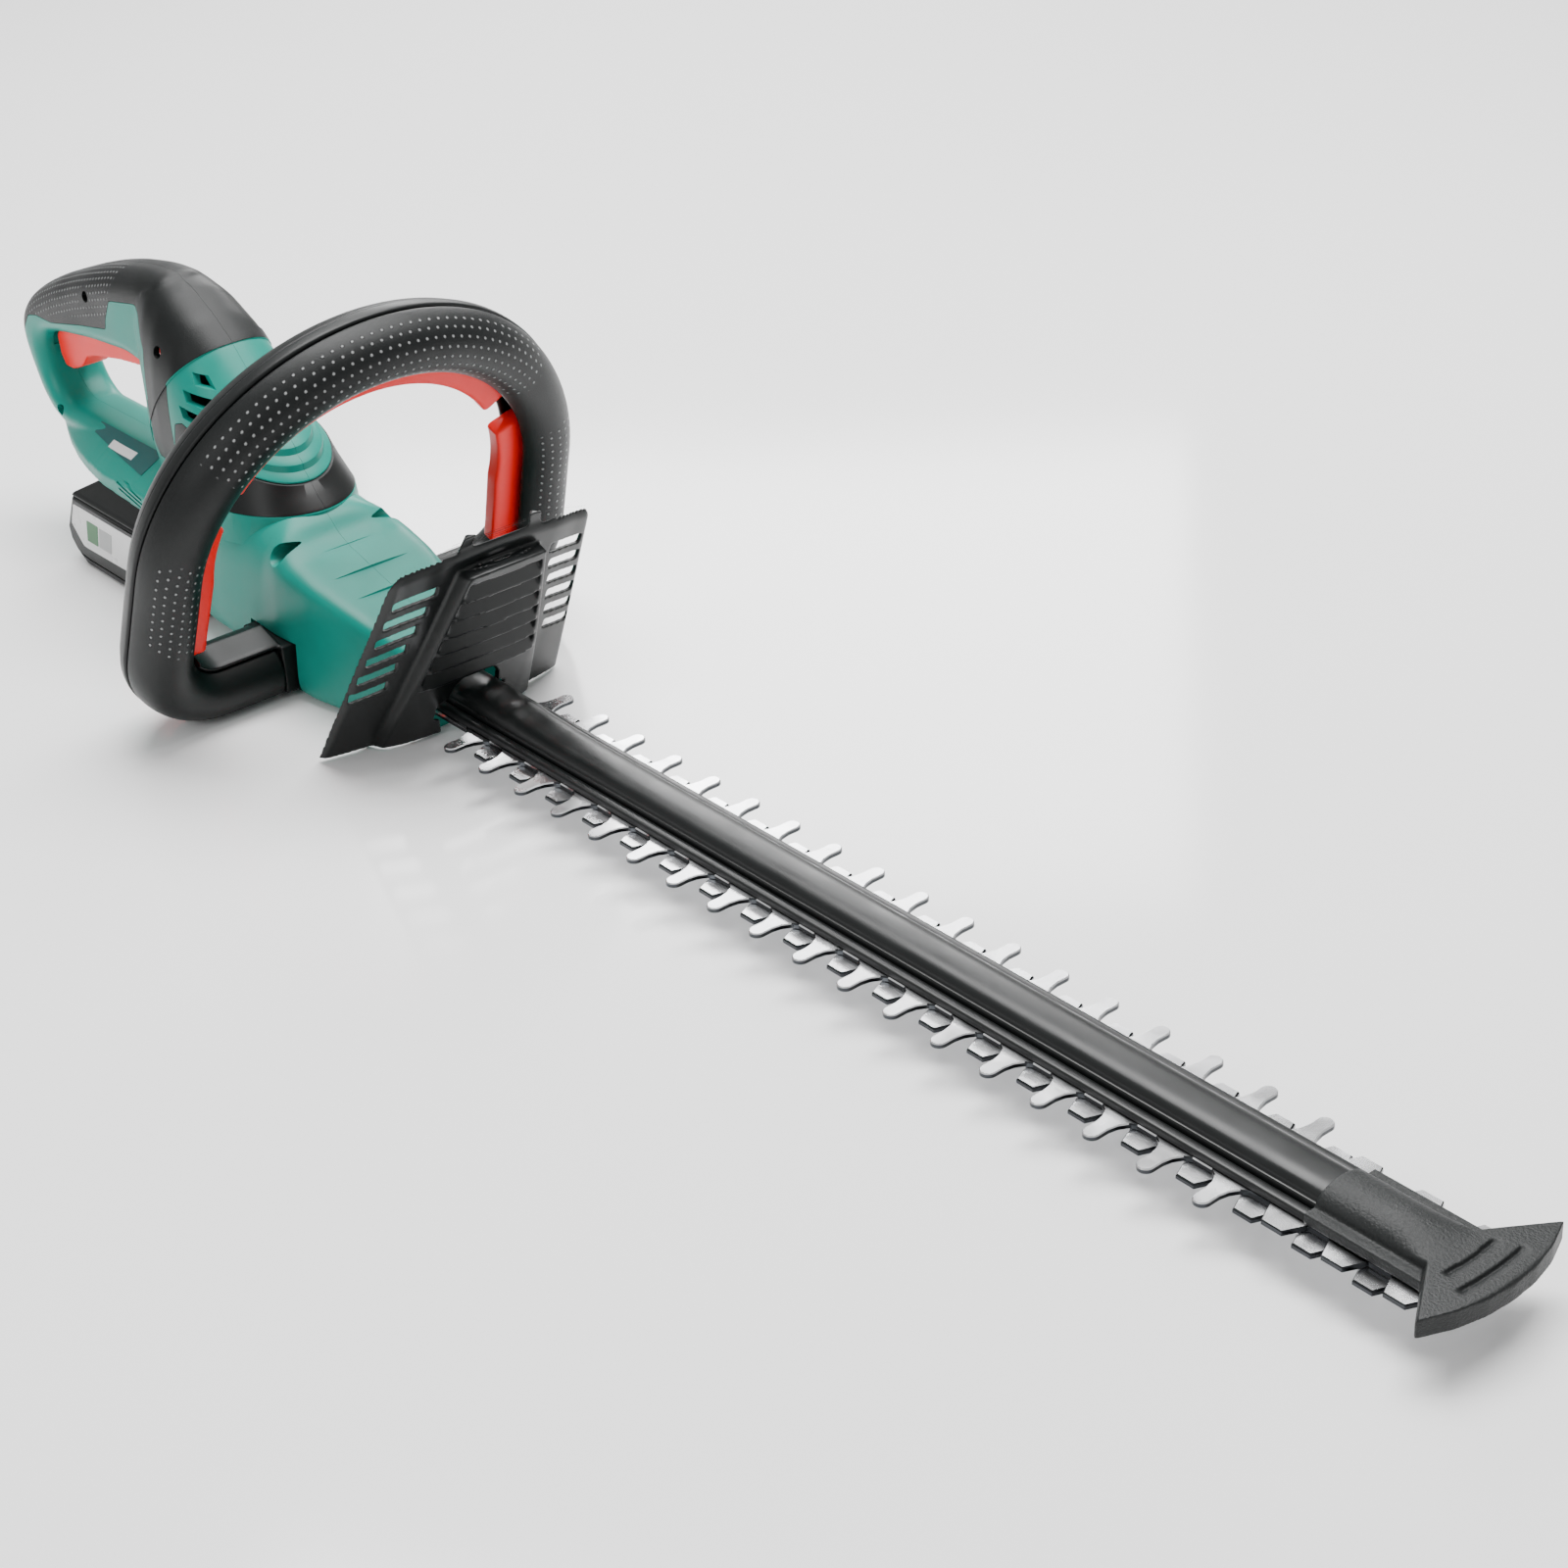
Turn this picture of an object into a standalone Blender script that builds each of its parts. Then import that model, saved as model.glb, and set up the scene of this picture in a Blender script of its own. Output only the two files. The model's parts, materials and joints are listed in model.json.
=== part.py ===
"""Cordless hedge trimmer with a front loop handle, modelled as separate parts.

Everything is drawn in the tool's own millimetres: X runs forward along the blade from the first
tooth, Y to the left of the seam, and Z up from the top face of the comb. The empty "tool" then puts
the whole machine on the ground plane, with its origin under the middle of its bounding box.
"""

import math

import bmesh
import bpy
from mathutils import Matrix, Vector

MM = 0.001
GAP = 0.3                 # between pieces that touch
WALL = 3.0                # wall of the motor and gear housing
HANDLE_WALL = 2.6
FOOT_WALL = 3.3

# Whole machine
GROUND = -17.0            # level of the ground under the comb
REAR_END = -397.0         # rearmost point of the rear handle
FRONT_END = 547.6         # foremost point of the tip guard

# Blade
PITCH = 26.0              # tooth pitch of the comb
LONG_TEETH = 18           # round-ended teeth on each side
SHORT_TEETH = 3           # short teeth next to the tip guard
TOOTH_REACH = 34.2        # comb tooth tip to centre line
COMB_HALF = 17.0          # half width of the comb's solid back
COMB_THICK = 2.0
CUTTER_REACH = 25.5       # cutting tooth tip to centre line
CUTTER_TOP = -2.3
CUTTER_THICK = 2.0
CUTTER_TAIL = -181.0
BOLT_X = (52.0, 182.0, 312.0, 442.0)
BOLT_R = 2.5
THROW = 8.0               # crank throw, half of the cutting stroke

# Rail and tip guard
RAIL_START = -42.0
RAIL_END = 500.0
RAIL_HALF = 16.5
RAIL_TOP = 9.0

# Drive: the motor stands upright over the gearbox
MOTOR_X = -188.0
GEAR_X = -153.0
PINION_TEETH = 10
GEAR_TEETH = 60           # module 1, so the axes are 35 mm apart
MODULE = 1.0
ECCENTRIC_R = 5.0
PLATE_Z = 3.4

# Front loop handle: its plane leans forward, LEAN is forward travel for each unit of height
LEAN = 0.35
LOOP_FOOT_X = -131.8
LOOP_SECTION = (15.0, 18.8)   # half thickness in the plane, half depth across it
LOOP_CENTRE = 68.0            # height of the upper arch's centre, along the plane
LOOP_ARCH = (99.4, 95.9)      # half width and height of the upper arch
LEG_FOOT = (102.0, 28.0)
ARM_LEVEL = -1.2
ARM_CORNER = 29.0
ARM_END = 44.5

# Guard: a plate that leans forward too
GUARD_LEAN = 0.54
GUARD_X = 8.7
GUARD_TOP = 100.3

# Battery pack
PACK_X = (-334.0, -217.0)
PACK_HALF = 37.5
PACK_SPLIT_Z = 20.0
PACK_TOP_Z = 30.0

# Rear handle
GRIP_HALF = 17.0

TEAL = (0.0, 0.33, 0.28)
BLACK = (0.016, 0.017, 0.018)
RED = (0.78, 0.03, 0.012)
STEEL = (0.62, 0.62, 0.63)
COPPER = (0.6, 0.24, 0.1)
DARK_STEEL = (0.2, 0.2, 0.21)
BOARD_GREEN = (0.02, 0.12, 0.04)
BRASS = (0.6, 0.42, 0.14)


# ---------------------------------------------------------------- making objects

def clear_scene():
    for obj in list(bpy.data.objects):
        bpy.data.objects.remove(obj)


def material(name, colour, roughness, metallic=0.0):
    mat = bpy.data.materials.new(name)
    mat.use_nodes = True
    shader = mat.node_tree.nodes["Principled BSDF"]
    shader.inputs["Base Color"].default_value = (*colour, 1.0)
    shader.inputs["Roughness"].default_value = roughness
    shader.inputs["Metallic"].default_value = metallic
    mat.diffuse_color = (*colour, 1.0)
    return mat


def add_object(name, bm, mat, origin=(0.0, 0.0, 0.0)):
    """Puts a bmesh drawn in tool millimetres into the scene, with its origin at a tool point."""
    bmesh.ops.remove_doubles(bm, verts=bm.verts, dist=1e-4)
    bmesh.ops.recalc_face_normals(bm, faces=bm.faces)
    shift = Matrix.Scale(MM, 4) @ Matrix.Translation(-Vector(origin))
    bm.transform(shift)
    mesh = bpy.data.meshes.new(name)
    bm.to_mesh(mesh)
    bm.free()
    mesh.materials.append(mat)
    mesh.shade_smooth()
    mesh.set_sharp_from_angle(angle=math.radians(32.0))
    obj = bpy.data.objects.new(name, mesh)
    bpy.context.scene.collection.objects.link(obj)
    obj.parent = TOOL
    obj.location = Vector(origin) * MM
    return obj


def helper(bm):
    """A cutter, hidden in renders. combine() removes it once it is used."""
    obj = add_object("cutter", bm, MATS["steel"])
    obj.hide_render = True
    obj.display_type = "WIRE"
    return obj


def combine(obj, *steps, solver="EXACT"):
    """Boolean steps of (operation, bmesh), applied to the object's mesh.

    The moulded shells and the guard have grazing faces that the exact solver leaves open, so they
    are cut with the manifold solver.
    """
    cutters = []
    for operation, bm in steps:
        cutter = helper(bm)
        cutters.append(cutter)
        modifier = obj.modifiers.new(operation.title(), "BOOLEAN")
        modifier.operation = operation
        modifier.solver = solver
        modifier.object = cutter
    bpy.context.view_layer.update()
    graph = bpy.context.evaluated_depsgraph_get()
    mesh = bpy.data.meshes.new_from_object(obj.evaluated_get(graph))
    obj.modifiers.clear()
    obj.data = mesh
    mesh.shade_smooth()
    mesh.set_sharp_from_angle(angle=math.radians(32.0))
    for cutter in cutters:
        bpy.data.objects.remove(cutter)
    return obj


def mirrored(obj, name):
    """The same piece on the other side of the seam."""
    bm = bmesh.new()
    bm.from_mesh(obj.data)
    bm.transform(Matrix.Scale(1 / MM, 4))
    bm.transform(Matrix.Translation(obj.location / MM))
    bm.transform(Matrix.Scale(-1.0, 4, (0.0, 1.0, 0.0)))
    bmesh.ops.reverse_faces(bm, faces=bm.faces)
    place = (obj.location.x / MM, -obj.location.y / MM, obj.location.z / MM)
    return add_object(name, bm, obj.data.materials[0], place)


# ---------------------------------------------------------------- shapes

def loft(rings, ring_closed=True, path_closed=False):
    """Quads between rings of equal length, with flat ends unless the path closes on itself."""
    bm = bmesh.new()
    loops = [[bm.verts.new(point) for point in ring] for ring in rings]
    count = len(loops[0])
    last = count if ring_closed else count - 1
    pairs = list(zip(loops, loops[1:]))
    if path_closed:
        pairs.append((loops[-1], loops[0]))
    for low, high in pairs:
        for i in range(last):
            j = (i + 1) % count
            bm.faces.new((low[i], low[j], high[j], high[i]))
    if not path_closed:
        bm.faces.new(loops[0])
        bm.faces.new(reversed(loops[-1]))
    return bm


def slab(fronts, backs):
    """A bent plate: a grid of points on its front, one on its back, and quads all round."""
    bm = bmesh.new()
    front = [[bm.verts.new(point) for point in row] for row in fronts]
    back = [[bm.verts.new(point) for point in row] for row in backs]
    rows = len(front)
    columns = len(front[0])
    for i in range(rows - 1):
        for j in range(columns - 1):
            bm.faces.new((front[i][j], front[i][j + 1], front[i + 1][j + 1], front[i + 1][j]))
            bm.faces.new((back[i][j], back[i + 1][j], back[i + 1][j + 1], back[i][j + 1]))
        for j in (0, columns - 1):
            bm.faces.new((front[i][j], front[i + 1][j], back[i + 1][j], back[i][j]))
    for i in (0, rows - 1):
        for j in range(columns - 1):
            bm.faces.new((front[i][j], front[i][j + 1], back[i][j + 1], back[i][j]))
    return bm


def prism(outline, low, high, along="Y"):
    """A flat outline pushed along one axis. Its two numbers are the other axes in X, Y, Z order."""
    def point(a, b, c):
        return {"X": (c, a, b), "Y": (a, c, b), "Z": (a, b, c)}[along]
    return loft([[point(a, b, c) for a, b in outline] for c in (low, high)])


def box(x_span, y_span, z_span):
    x0, x1 = x_span
    z0, z1 = z_span
    return prism([(x0, z0), (x1, z0), (x1, z1), (x0, z1)], y_span[0], y_span[1])


def circle(radius, count, centre=(0.0, 0.0)):
    steps = [2 * math.pi * i / count for i in range(count)]
    return [(centre[0] + radius * math.cos(t), centre[1] + radius * math.sin(t)) for t in steps]


def turned(profile, centre, count=24, along="Z"):
    """Rings of (height, radius) about an axis through centre."""
    rings = []
    for height, radius in profile:
        ring = []
        for a, b in circle(radius, count):
            offset = {"Z": (a, b, height), "Y": (a, height, b), "X": (height, a, b)}[along]
            ring.append(Vector(centre) + Vector(offset))
        rings.append(ring)
    return loft(rings)


def tube_ring(inner, outer, low, high, centre, count=24, along="Z"):
    """A plain ring with a hole through it."""
    profile = [(low, inner), (low, outer), (high, outer), (high, inner)]
    rings = []
    for i in range(count):
        angle = 2 * math.pi * i / count
        ring = []
        for height, radius in profile:
            a = radius * math.cos(angle)
            b = radius * math.sin(angle)
            offset = {"Z": (a, b, height), "Y": (a, height, b), "X": (height, a, b)}[along]
            ring.append(Vector(centre) + Vector(offset))
        rings.append(ring)
    return loft(rings, path_closed=True)


def offset_outline(outline, distance):
    """Moves each side of an outline outwards by a distance, inwards if it is negative."""
    area = sum(a[0] * b[1] - b[0] * a[1] for a, b in zip(outline, outline[1:] + outline[:1]))
    sign = 1.0 if area > 0 else -1.0
    moved = []
    count = len(outline)
    for i, here in enumerate(outline):
        before = Vector(here) - Vector(outline[i - 1])
        after = Vector(outline[(i + 1) % count]) - Vector(here)
        n0 = Vector((before.y, -before.x)).normalized()
        n1 = Vector((after.y, -after.x)).normalized()
        bisector = (n0 + n1).normalized()
        reach = sign * distance / max(0.35, bisector.dot(n0))
        moved.append((here[0] + bisector.x * reach, here[1] + bisector.y * reach))
    return moved


def bevel_where(bm, test, width, segments=2):
    edges = [edge for edge in bm.edges if test(edge)]
    bmesh.ops.bevel(bm, geom=edges, offset=width, segments=segments, affect="EDGES", profile=0.5)
    return bm


def rounded_box(x_span, y_span, z_span, radius, segments=2):
    bm = box(x_span, y_span, z_span)
    return bevel_where(bm, lambda edge: True, radius, segments)


def arc(centre, radii, start, end, count):
    """Points on an ellipse from one angle to another, in degrees."""
    steps = [math.radians(start + (end - start) * i / count) for i in range(count + 1)]
    return [(centre[0] + radii[0] * math.cos(t), centre[1] + radii[1] * math.sin(t)) for t in steps]


# ---------------------------------------------------------------- main body

NOSE_END = -43.5          # front wall of the gear housing, behind the guard

# Stations of the motor and gear housing: x, underside, top, half width, squareness
BODY_STATIONS = (
    (-264.0, 34.0, 143.0, 16.0, 4.0),
    (-256.0, 33.0, 145.8, 20.5, 3.6),
    (-246.0, 32.5, 145.3, 27.0, 3.2),
    (-232.0, 32.5, 141.8, 33.0, 3.0),
    (-214.5, 32.5, 132.5, 36.0, 3.0),
    (-213.0, -13.0, 131.5, 37.0, 3.2),
    (-202.0, -16.5, 123.3, 38.0, 3.2),
    (-180.0, -17.0, 101.0, 39.5, 3.4),
    (-158.0, -17.0, 78.5, 41.0, 3.6),
    (-147.0, -17.0, 69.5, 41.5, 3.8),
    (-135.0, -17.0, 59.0, 41.5, 4.2),
    (-123.0, -17.0, 47.2, 41.0, 5.0),
    (-104.0, -17.0, 42.3, 38.5, 5.0),
    (-70.0, -16.5, 33.5, 32.0, 5.0),
    (NOSE_END, -16.2, 28.0, 27.0, 5.0),
)

# Side outline of the rear D handle, and of the opening for the hand
HANDLE_OUTLINE = [
    (-250.0, 145.9), (-274.0, 143.4), (-290.0, 140.4), (-326.0, 130.3), (-350.0, 121.3), (-372.0, 111.5),
    (-387.0, 102.0), (-395.0, 92.0), (REAR_END, 82.0), (-392.5, 68.0), (-384.0, 50.0), (-374.0, 40.0),
    (-360.0, 34.5), (-345.0, 33.0), (-250.0, 33.0),
]
HAND_OPENING = [
    (-262.0, 52.0), (-262.0, 97.0), (-282.0, 99.5), (-320.0, 96.0), (-350.0, 91.5), (-368.0, 87.5),
    (-374.0, 82.0), (-371.0, 67.0), (-365.0, 57.0), (-356.0, 51.5),
]

# Foot over the battery: x, underside, shoulder, top, half width, half width of the flat top
FOOT_STATIONS = (
    (-372.0, 39.0, 42.0, 49.0, 14.0, 9.0),
    (-350.0, 33.0, 37.0, 50.5, 25.0, 12.0),
    (-318.0, 32.0, 38.0, 51.5, 33.0, 13.0),
    (-250.0, 32.0, 41.0, 52.0, 35.0, 15.0),
    (-232.0, 32.0, 42.0, 52.0, 35.5, 16.0),
)

# Side outline of the black cover over the grip and the motor's upper end
COVER_OUTLINE = [
    (-410.0, 72.0), (-390.0, 80.0), (-380.0, 95.0), (-368.0, 97.5), (-354.6, 97.5), (-323.0, 104.0),
    (-294.5, 109.0), (-293.0, 115.0), (-286.5, 125.5), (-262.0, 130.5), (-254.0, 128.5), (-243.0, 115.0),
    (-243.5, 100.0), (-245.0, 68.0), (-240.0, 62.0), (-222.0, 66.0), (-217.0, 88.0), (-215.5, 108.0),
    (-201.4, 123.0), (-180.0, 145.0), (-230.0, 180.0), (-410.0, 180.0),
]
COLLAR_OUTLINE = [
    (-110.0, 58.4), (-147.0, 69.8), (-209.0, 88.3), (-216.6, 87.7), (-221.4, 66.0), (-136.0, 59.3),
    (-110.0, 57.4),
]
VENT_SLOTS = ((-203.0, 111.0, -38.0, 26.0), (-206.0, 103.5, -27.0, 34.0), (-207.0, 95.5, -17.0, 38.0))


def body_ring(x, low, high, half, power, count=28):
    """A squared-off ellipse across the machine."""
    ring = []
    middle = (low + high) / 2
    rise = (high - low) / 2
    for i in range(count):
        angle = 2 * math.pi * (i + 0.5) / count
        c = math.cos(angle)
        s = math.sin(angle)
        y = half * math.copysign(abs(c) ** (2 / power), c)
        z = middle + rise * math.copysign(abs(s) ** (2 / power), s)
        ring.append((x, y, z))
    return ring


def body_solid(inset=0.0):
    rings = []
    for x, low, high, half, power in BODY_STATIONS:
        if x == BODY_STATIONS[0][0]:
            x += inset
        if x in (-214.5, -213.0):
            x += inset
        if x == NOSE_END:
            x -= inset
        rings.append(body_ring(x, low + inset, high - inset, half - inset, power))
    return loft(rings)


def handle_solid(inset=0.0):
    return prism(offset_outline(HANDLE_OUTLINE, -inset), -GRIP_HALF + inset, GRIP_HALF - inset)


def rounded_handle():
    bm = handle_solid()
    inside_body = -250.5
    near = 1e-3

    def on_rim(edge):
        first, second = (vert.co for vert in edge.verts)
        on_side = abs(abs(first.y) - GRIP_HALF) < near
        along_side = abs(first.y - second.y) < near
        return on_side and along_side and max(first.x, second.x) < inside_body

    return bevel_where(bm, on_rim, 7.0, 2)


def foot_solid(inset=0.0):
    rings = []
    for x, low, shoulder, top, half, flat in FOOT_STATIONS:
        if x == FOOT_STATIONS[0][0]:
            x += inset
        low += inset
        half -= inset
        top -= inset
        rings.append([(x, -half, low), (x, half, low), (x, half, shoulder), (x, flat, top), (x, -flat, top),
                      (x, -half, shoulder)])
    return loft(rings)


def half_space(left):
    return box((-500.0, 50.0), (GAP / 2, 90.0) if left else (-90.0, -GAP / 2), (-60.0, 220.0))


def make_housing():
    """One hollow body, split along the cover's edge and the seam into its moulded pieces."""
    whole = add_object("whole", body_solid(), MATS["teal"])
    grip_well = prism(offset_outline(HAND_OPENING, 0.0), -40.0, 40.0)
    combine(whole, ("UNION", rounded_handle()), ("UNION", foot_solid()), ("DIFFERENCE", grip_well),
            solver="MANIFOLD")
    inner_opening = prism(offset_outline(HAND_OPENING, HANDLE_WALL), -40.0, 40.0)
    hollow = add_object("hollow", body_solid(WALL), MATS["teal"])
    combine(hollow, ("UNION", handle_solid(HANDLE_WALL)), ("UNION", foot_solid(FOOT_WALL)),
            ("DIFFERENCE", inner_opening), solver="MANIFOLD")
    core = bmesh.new()
    core.from_mesh(hollow.data)
    core.transform(Matrix.Scale(1 / MM, 4))
    bpy.data.objects.remove(hollow)
    nose = box((NOSE_END - 8.0, NOSE_END + 14.0), (-18.0, 18.0), (-8.5, 13.5))
    trigger_slot = box((-374.0, -266.0), (-8.5, 8.5), (78.0, 104.0))
    pack_window = box((-266.0, -222.0), (-17.0, 17.0), (28.0, 38.0))
    arm_left = box((-152.0, -113.0), (34.0, 50.0), (-13.8, 11.0))
    arm_right = box((-152.0, -113.0), (-50.0, -34.0), (-13.8, 11.0))
    combine(whole, ("DIFFERENCE", core), ("DIFFERENCE", nose), ("DIFFERENCE", trigger_slot),
            ("DIFFERENCE", pack_window), ("DIFFERENCE", arm_left), ("DIFFERENCE", arm_right),
            solver="MANIFOLD")
    for x, z, slope, length in VENT_SLOTS:
        combine(whole, ("DIFFERENCE", vent_cutter(x, z, slope, length)), solver="MANIFOLD")
    for x, z in SCREW_PLACES:
        hole = turned([(-60.0, 2.4), (0.0, 2.4)], (x, 0.0, z), 12, "Y")
        combine(whole, ("DIFFERENCE", hole), solver="MANIFOLD")
    pieces = (("housing", "teal", "DIFFERENCE", offset_outline(COVER_OUTLINE, GAP / 2), True),
              ("grip_cover", "black", "INTERSECT", offset_outline(COVER_OUTLINE, -GAP / 2), False),
              ("collar", "black", "INTERSECT", offset_outline(COLLAR_OUTLINE, -GAP / 2), False))
    for name, slot, operation, outline, minus_collar in pieces:
        bm = bmesh.new()
        bm.from_mesh(whole.data)
        bm.transform(Matrix.Scale(1 / MM, 4))
        piece = add_object("left_" + name, bm, MATS[slot])
        steps = [(operation, prism(outline, -90.0, 90.0))]
        if minus_collar:
            steps.append(("DIFFERENCE", prism(offset_outline(COLLAR_OUTLINE, GAP / 2), -90.0, 90.0)))
        steps.append(("INTERSECT", half_space(True)))
        combine(piece, *steps, solver="MANIFOLD")
        mirrored(piece, "right_" + name)
    bpy.data.objects.remove(whole)


def vent_cutter(x, z, slope, length):
    """A slanted slot through both sides of the motor housing."""
    angle = math.radians(slope)
    along = Vector((math.cos(angle), math.sin(angle)))
    across = Vector((-along.y, along.x)) * 2.0
    start = Vector((x, z))
    end = start + along * length
    corners = [start - across, end - across, end + across, start + across]
    return prism([tuple(corner) for corner in corners], -60.0, 60.0)


SCREW_PLACES = ((-312.0, 121.5), (-228.0, 118.0), (-250.0, 73.0), (-367.0, 47.0), (-118.0, 33.0))


def make_screws():
    names = ("grip", "cap", "column", "corner", "gearbox")
    lengths = (13.0, 20.0, 13.0, 10.0, 30.0)
    for name, (x, z), reach in zip(names, SCREW_PLACES, lengths):
        head = -reach + 3.0
        bm = turned([(-reach, 1.9), (head, 1.9), (4.0, 1.5)], (x, 0.0, z), 10, "Y")
        add_object(name + "_screw", bm, MATS["dark_steel"], (x, 0.0, z))


# ---------------------------------------------------------------- front loop handle

def loop_point(y, s, depth=0.0):
    """A point of the loop's leaning plane: y across, s up the plane, depth in front of it."""
    unit = 1 / math.hypot(1.0, LEAN)
    return Vector((LOOP_FOOT_X + (LEAN * s + depth) * unit, y, (s - LEAN * depth) * unit))


def loop_path(steps=28, corner_steps=6):
    """Centre line from the right arm, up, over and down to the left arm, as (y, s) pairs."""
    right = [(-ARM_END, ARM_LEVEL)]
    centre = (-(LEG_FOOT[0] - ARM_CORNER), ARM_LEVEL + ARM_CORNER)
    right += arc(centre, (ARM_CORNER, ARM_CORNER), 270.0, 180.0, corner_steps)
    arch = arc((0.0, LOOP_CENTRE), LOOP_ARCH, 176.0, 4.0, steps)
    left = [(-y, s) for y, s in reversed(right)]
    return right + arch + left


def frames(path):
    """Each path point with its unit direction and the unit inward normal, in the loop's plane."""
    result = []
    for i, (y, s) in enumerate(path):
        before = path[max(i - 1, 0)]
        after = path[min(i + 1, len(path) - 1)]
        direction = Vector((after[0] - before[0], after[1] - before[1])).normalized()
        result.append(((y, s), Vector((direction.y, -direction.x))))
    return result


def shell_section(start, end, inset_wall, count=8):
    """A curved strip of the handle's oval from one angle to another, as (inward, depth) pairs."""
    a, b = LOOP_SECTION
    outer = arc((0.0, 0.0), (a, b), start, end, count)
    inner = arc((0.0, 0.0), (a - inset_wall, b - inset_wall), end, start, count)
    return outer + inner


def sweep(section, path):
    rings = []
    for (y, s), inward in frames(path):
        ring = []
        for n, depth in section:
            ring.append(loop_point(y + inward.x * n, s + inward.y * n, depth))
        rings.append(ring)
    return loft(rings)


def make_loop():
    path = loop_path()
    add_object("front_grip", sweep(shell_section(26.0, 181.0, WALL, 9), path), MATS["soft_black"])
    add_object("front_grip_back", sweep(shell_section(183.0, 340.0, WALL, 9), path), MATS["black"])


def bar_path(start, end, steps):
    """The part of the arch or of a leg that a switch bar follows, by angle about the arch's centre."""
    return arc((0.0, LOOP_CENTRE), LOOP_ARCH, start, end, steps)


BAR_SECTION = [(8.0, -4.3), (22.0, -4.3), (23.5, -2.8), (23.5, 2.8), (22.0, 4.3), (8.0, 4.3)]


def make_bars():
    top = sweep(BAR_SECTION, bar_path(148.0, 32.0, 14))
    add_object("top_switch_bar", top, MATS["red"])
    leg = [(-LEG_FOOT[0], 22.0), (-101.3, 34.0)] + bar_path(184.0, 160.0, 7)[1:]
    right = sweep(BAR_SECTION, leg)
    bar = add_object("right_switch_bar", right, MATS["red"])
    mirrored(bar, "left_switch_bar")


def make_bar_switches():
    """Small switches inside the loop behind each bar."""
    for name, y, s in (("top_bar_switch", 0.0, LOOP_CENTRE + LOOP_ARCH[1] + 3.0),
                       ("left_bar_switch", 104.0, 52.0), ("right_bar_switch", -104.0, 52.0)):
        upright = name != "top_bar_switch"
        half_y, half_s = (3.5, 9.0) if upright else (9.0, 3.5)
        rings = []
        for depth in (-6.0, 6.0):
            corners = ((-half_y, -half_s), (half_y, -half_s), (half_y, half_s), (-half_y, half_s))
            rings.append([loop_point(y + dy, s + ds, depth) for dy, ds in corners])
        add_object(name, loft(rings), MATS["black"])


# Section of the cover that closes the arm's inner side, between the two grip shells
ARM_COVER = [(11.2, -4.9), (14.6, -6.2), (14.6, 7.9), (11.2, 6.5)]
ARM_COVER_START = 42.3
ARM_COVER_END = 218.0      # angle about the corner's centre, below the switch bar


def make_inserts():
    """Covers where the loop's arms pass into the housing, each with the strip that closes its arm."""
    centre = (-(LEG_FOOT[0] - ARM_CORNER), ARM_LEVEL + ARM_CORNER)
    path = [(-ARM_COVER_START, ARM_LEVEL)] + arc(centre, (ARM_CORNER, ARM_CORNER), 270.0, ARM_COVER_END, 5)
    right = add_object("right_handle_insert", sweep(ARM_COVER, path), MATS["black"])
    combine(right, ("UNION", box((-150.0, -115.0), (-44.0, -35.0), (-13.4, 10.6))))
    mirrored(right, "left_handle_insert")


# ---------------------------------------------------------------- guard

def guard_front(y, z):
    """How far forward the guard's face stands: a leaning plate, swept back at its outer edges."""
    plane = GUARD_X - GUARD_LEAN * (GUARD_TOP - z)
    side = abs(y)
    sweep_back = 5.0 - 0.004 * max(0.0, side - 28.0) ** 2
    panel = max(0.0, min(1.0, (panel_half(z) - side) / 3.0)) if z < 82.0 else 0.0
    bulge = 10.5 - 4.8 * (side / 40.0) ** 2
    return plane + sweep_back + panel * bulge


def panel_half(z):
    """Half width of the raised middle panel, wider at the foot."""
    return 22.0 + (80.0 - z) * 0.21


def guard_half(z):
    return 52.2 + (86.6 - z) * 0.134


def guard_row(z, half, edge, arch, back_step):
    """Points across the guard at one level, with more of them where the panel steps forward."""
    half_row = [0.0, edge / 2, edge - 3.0, edge, (half + edge) / 2, half]
    row = []
    for y in [-y for y in reversed(half_row[1:])] + half_row:
        level = z + arch * (1.0 - (y / half) ** 2)
        row.append((guard_front(y, level) - back_step, y, level))
    return row


def make_guard():
    thickness = 3.6
    levels = [(z, guard_half(z), panel_half(z), 0.0, 0.0) for z in (-15.0, 6.0, 32.0, 58.0, 77.0, 80.0)]
    levels += [(86.0, 52.0, 20.8, 3.0, 0.0), (91.0, 49.5, 20.0, 6.0, 0.8), (93.5, 47.5, 19.0, 7.0, 2.6)]
    fronts = [guard_row(*level) for level in levels]
    backs = [[(x - thickness, y, z) for x, y, z in row] for row in fronts]
    guard = add_object("hand_guard", slab(fronts, backs), MATS["black"])
    side = [(12.0, -40.0), (12.0, -15.0), (17.8, -6.5), (19.5, 0.0), (19.5, 12.0), (13.0, 21.6)]
    notch = prism(side + [(-y, z) for y, z in reversed(side)], -82.0, 40.0, "X")
    nose_room = box((-95.0, NOSE_END + GAP), (-28.0, 28.0), (-44.0, 29.0))
    combine(guard, ("DIFFERENCE", notch), ("DIFFERENCE", nose_room), solver="MANIFOLD")
    for i in range(6):
        z = 70.5 - 10.3 * i
        inner = panel_half(z) + 5.5
        outer = guard_half(z) - 6.5
        for side in (-1, 1):
            span = sorted((side * inner, side * outer))
            combine(guard, ("DIFFERENCE", box((-90.0, 60.0), span, (z - 2.4, z + 2.4))), solver="MANIFOLD")
    for i in range(5):
        z = 62.5 - 9.7 * i
        half = panel_half(z) - 5.0
        gap = box((-90.0, 60.0), (-half, half), (z - 1.2, z + 1.2))
        combine(guard, ("DIFFERENCE", gap), solver="MANIFOLD")


# ---------------------------------------------------------------- blade

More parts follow.
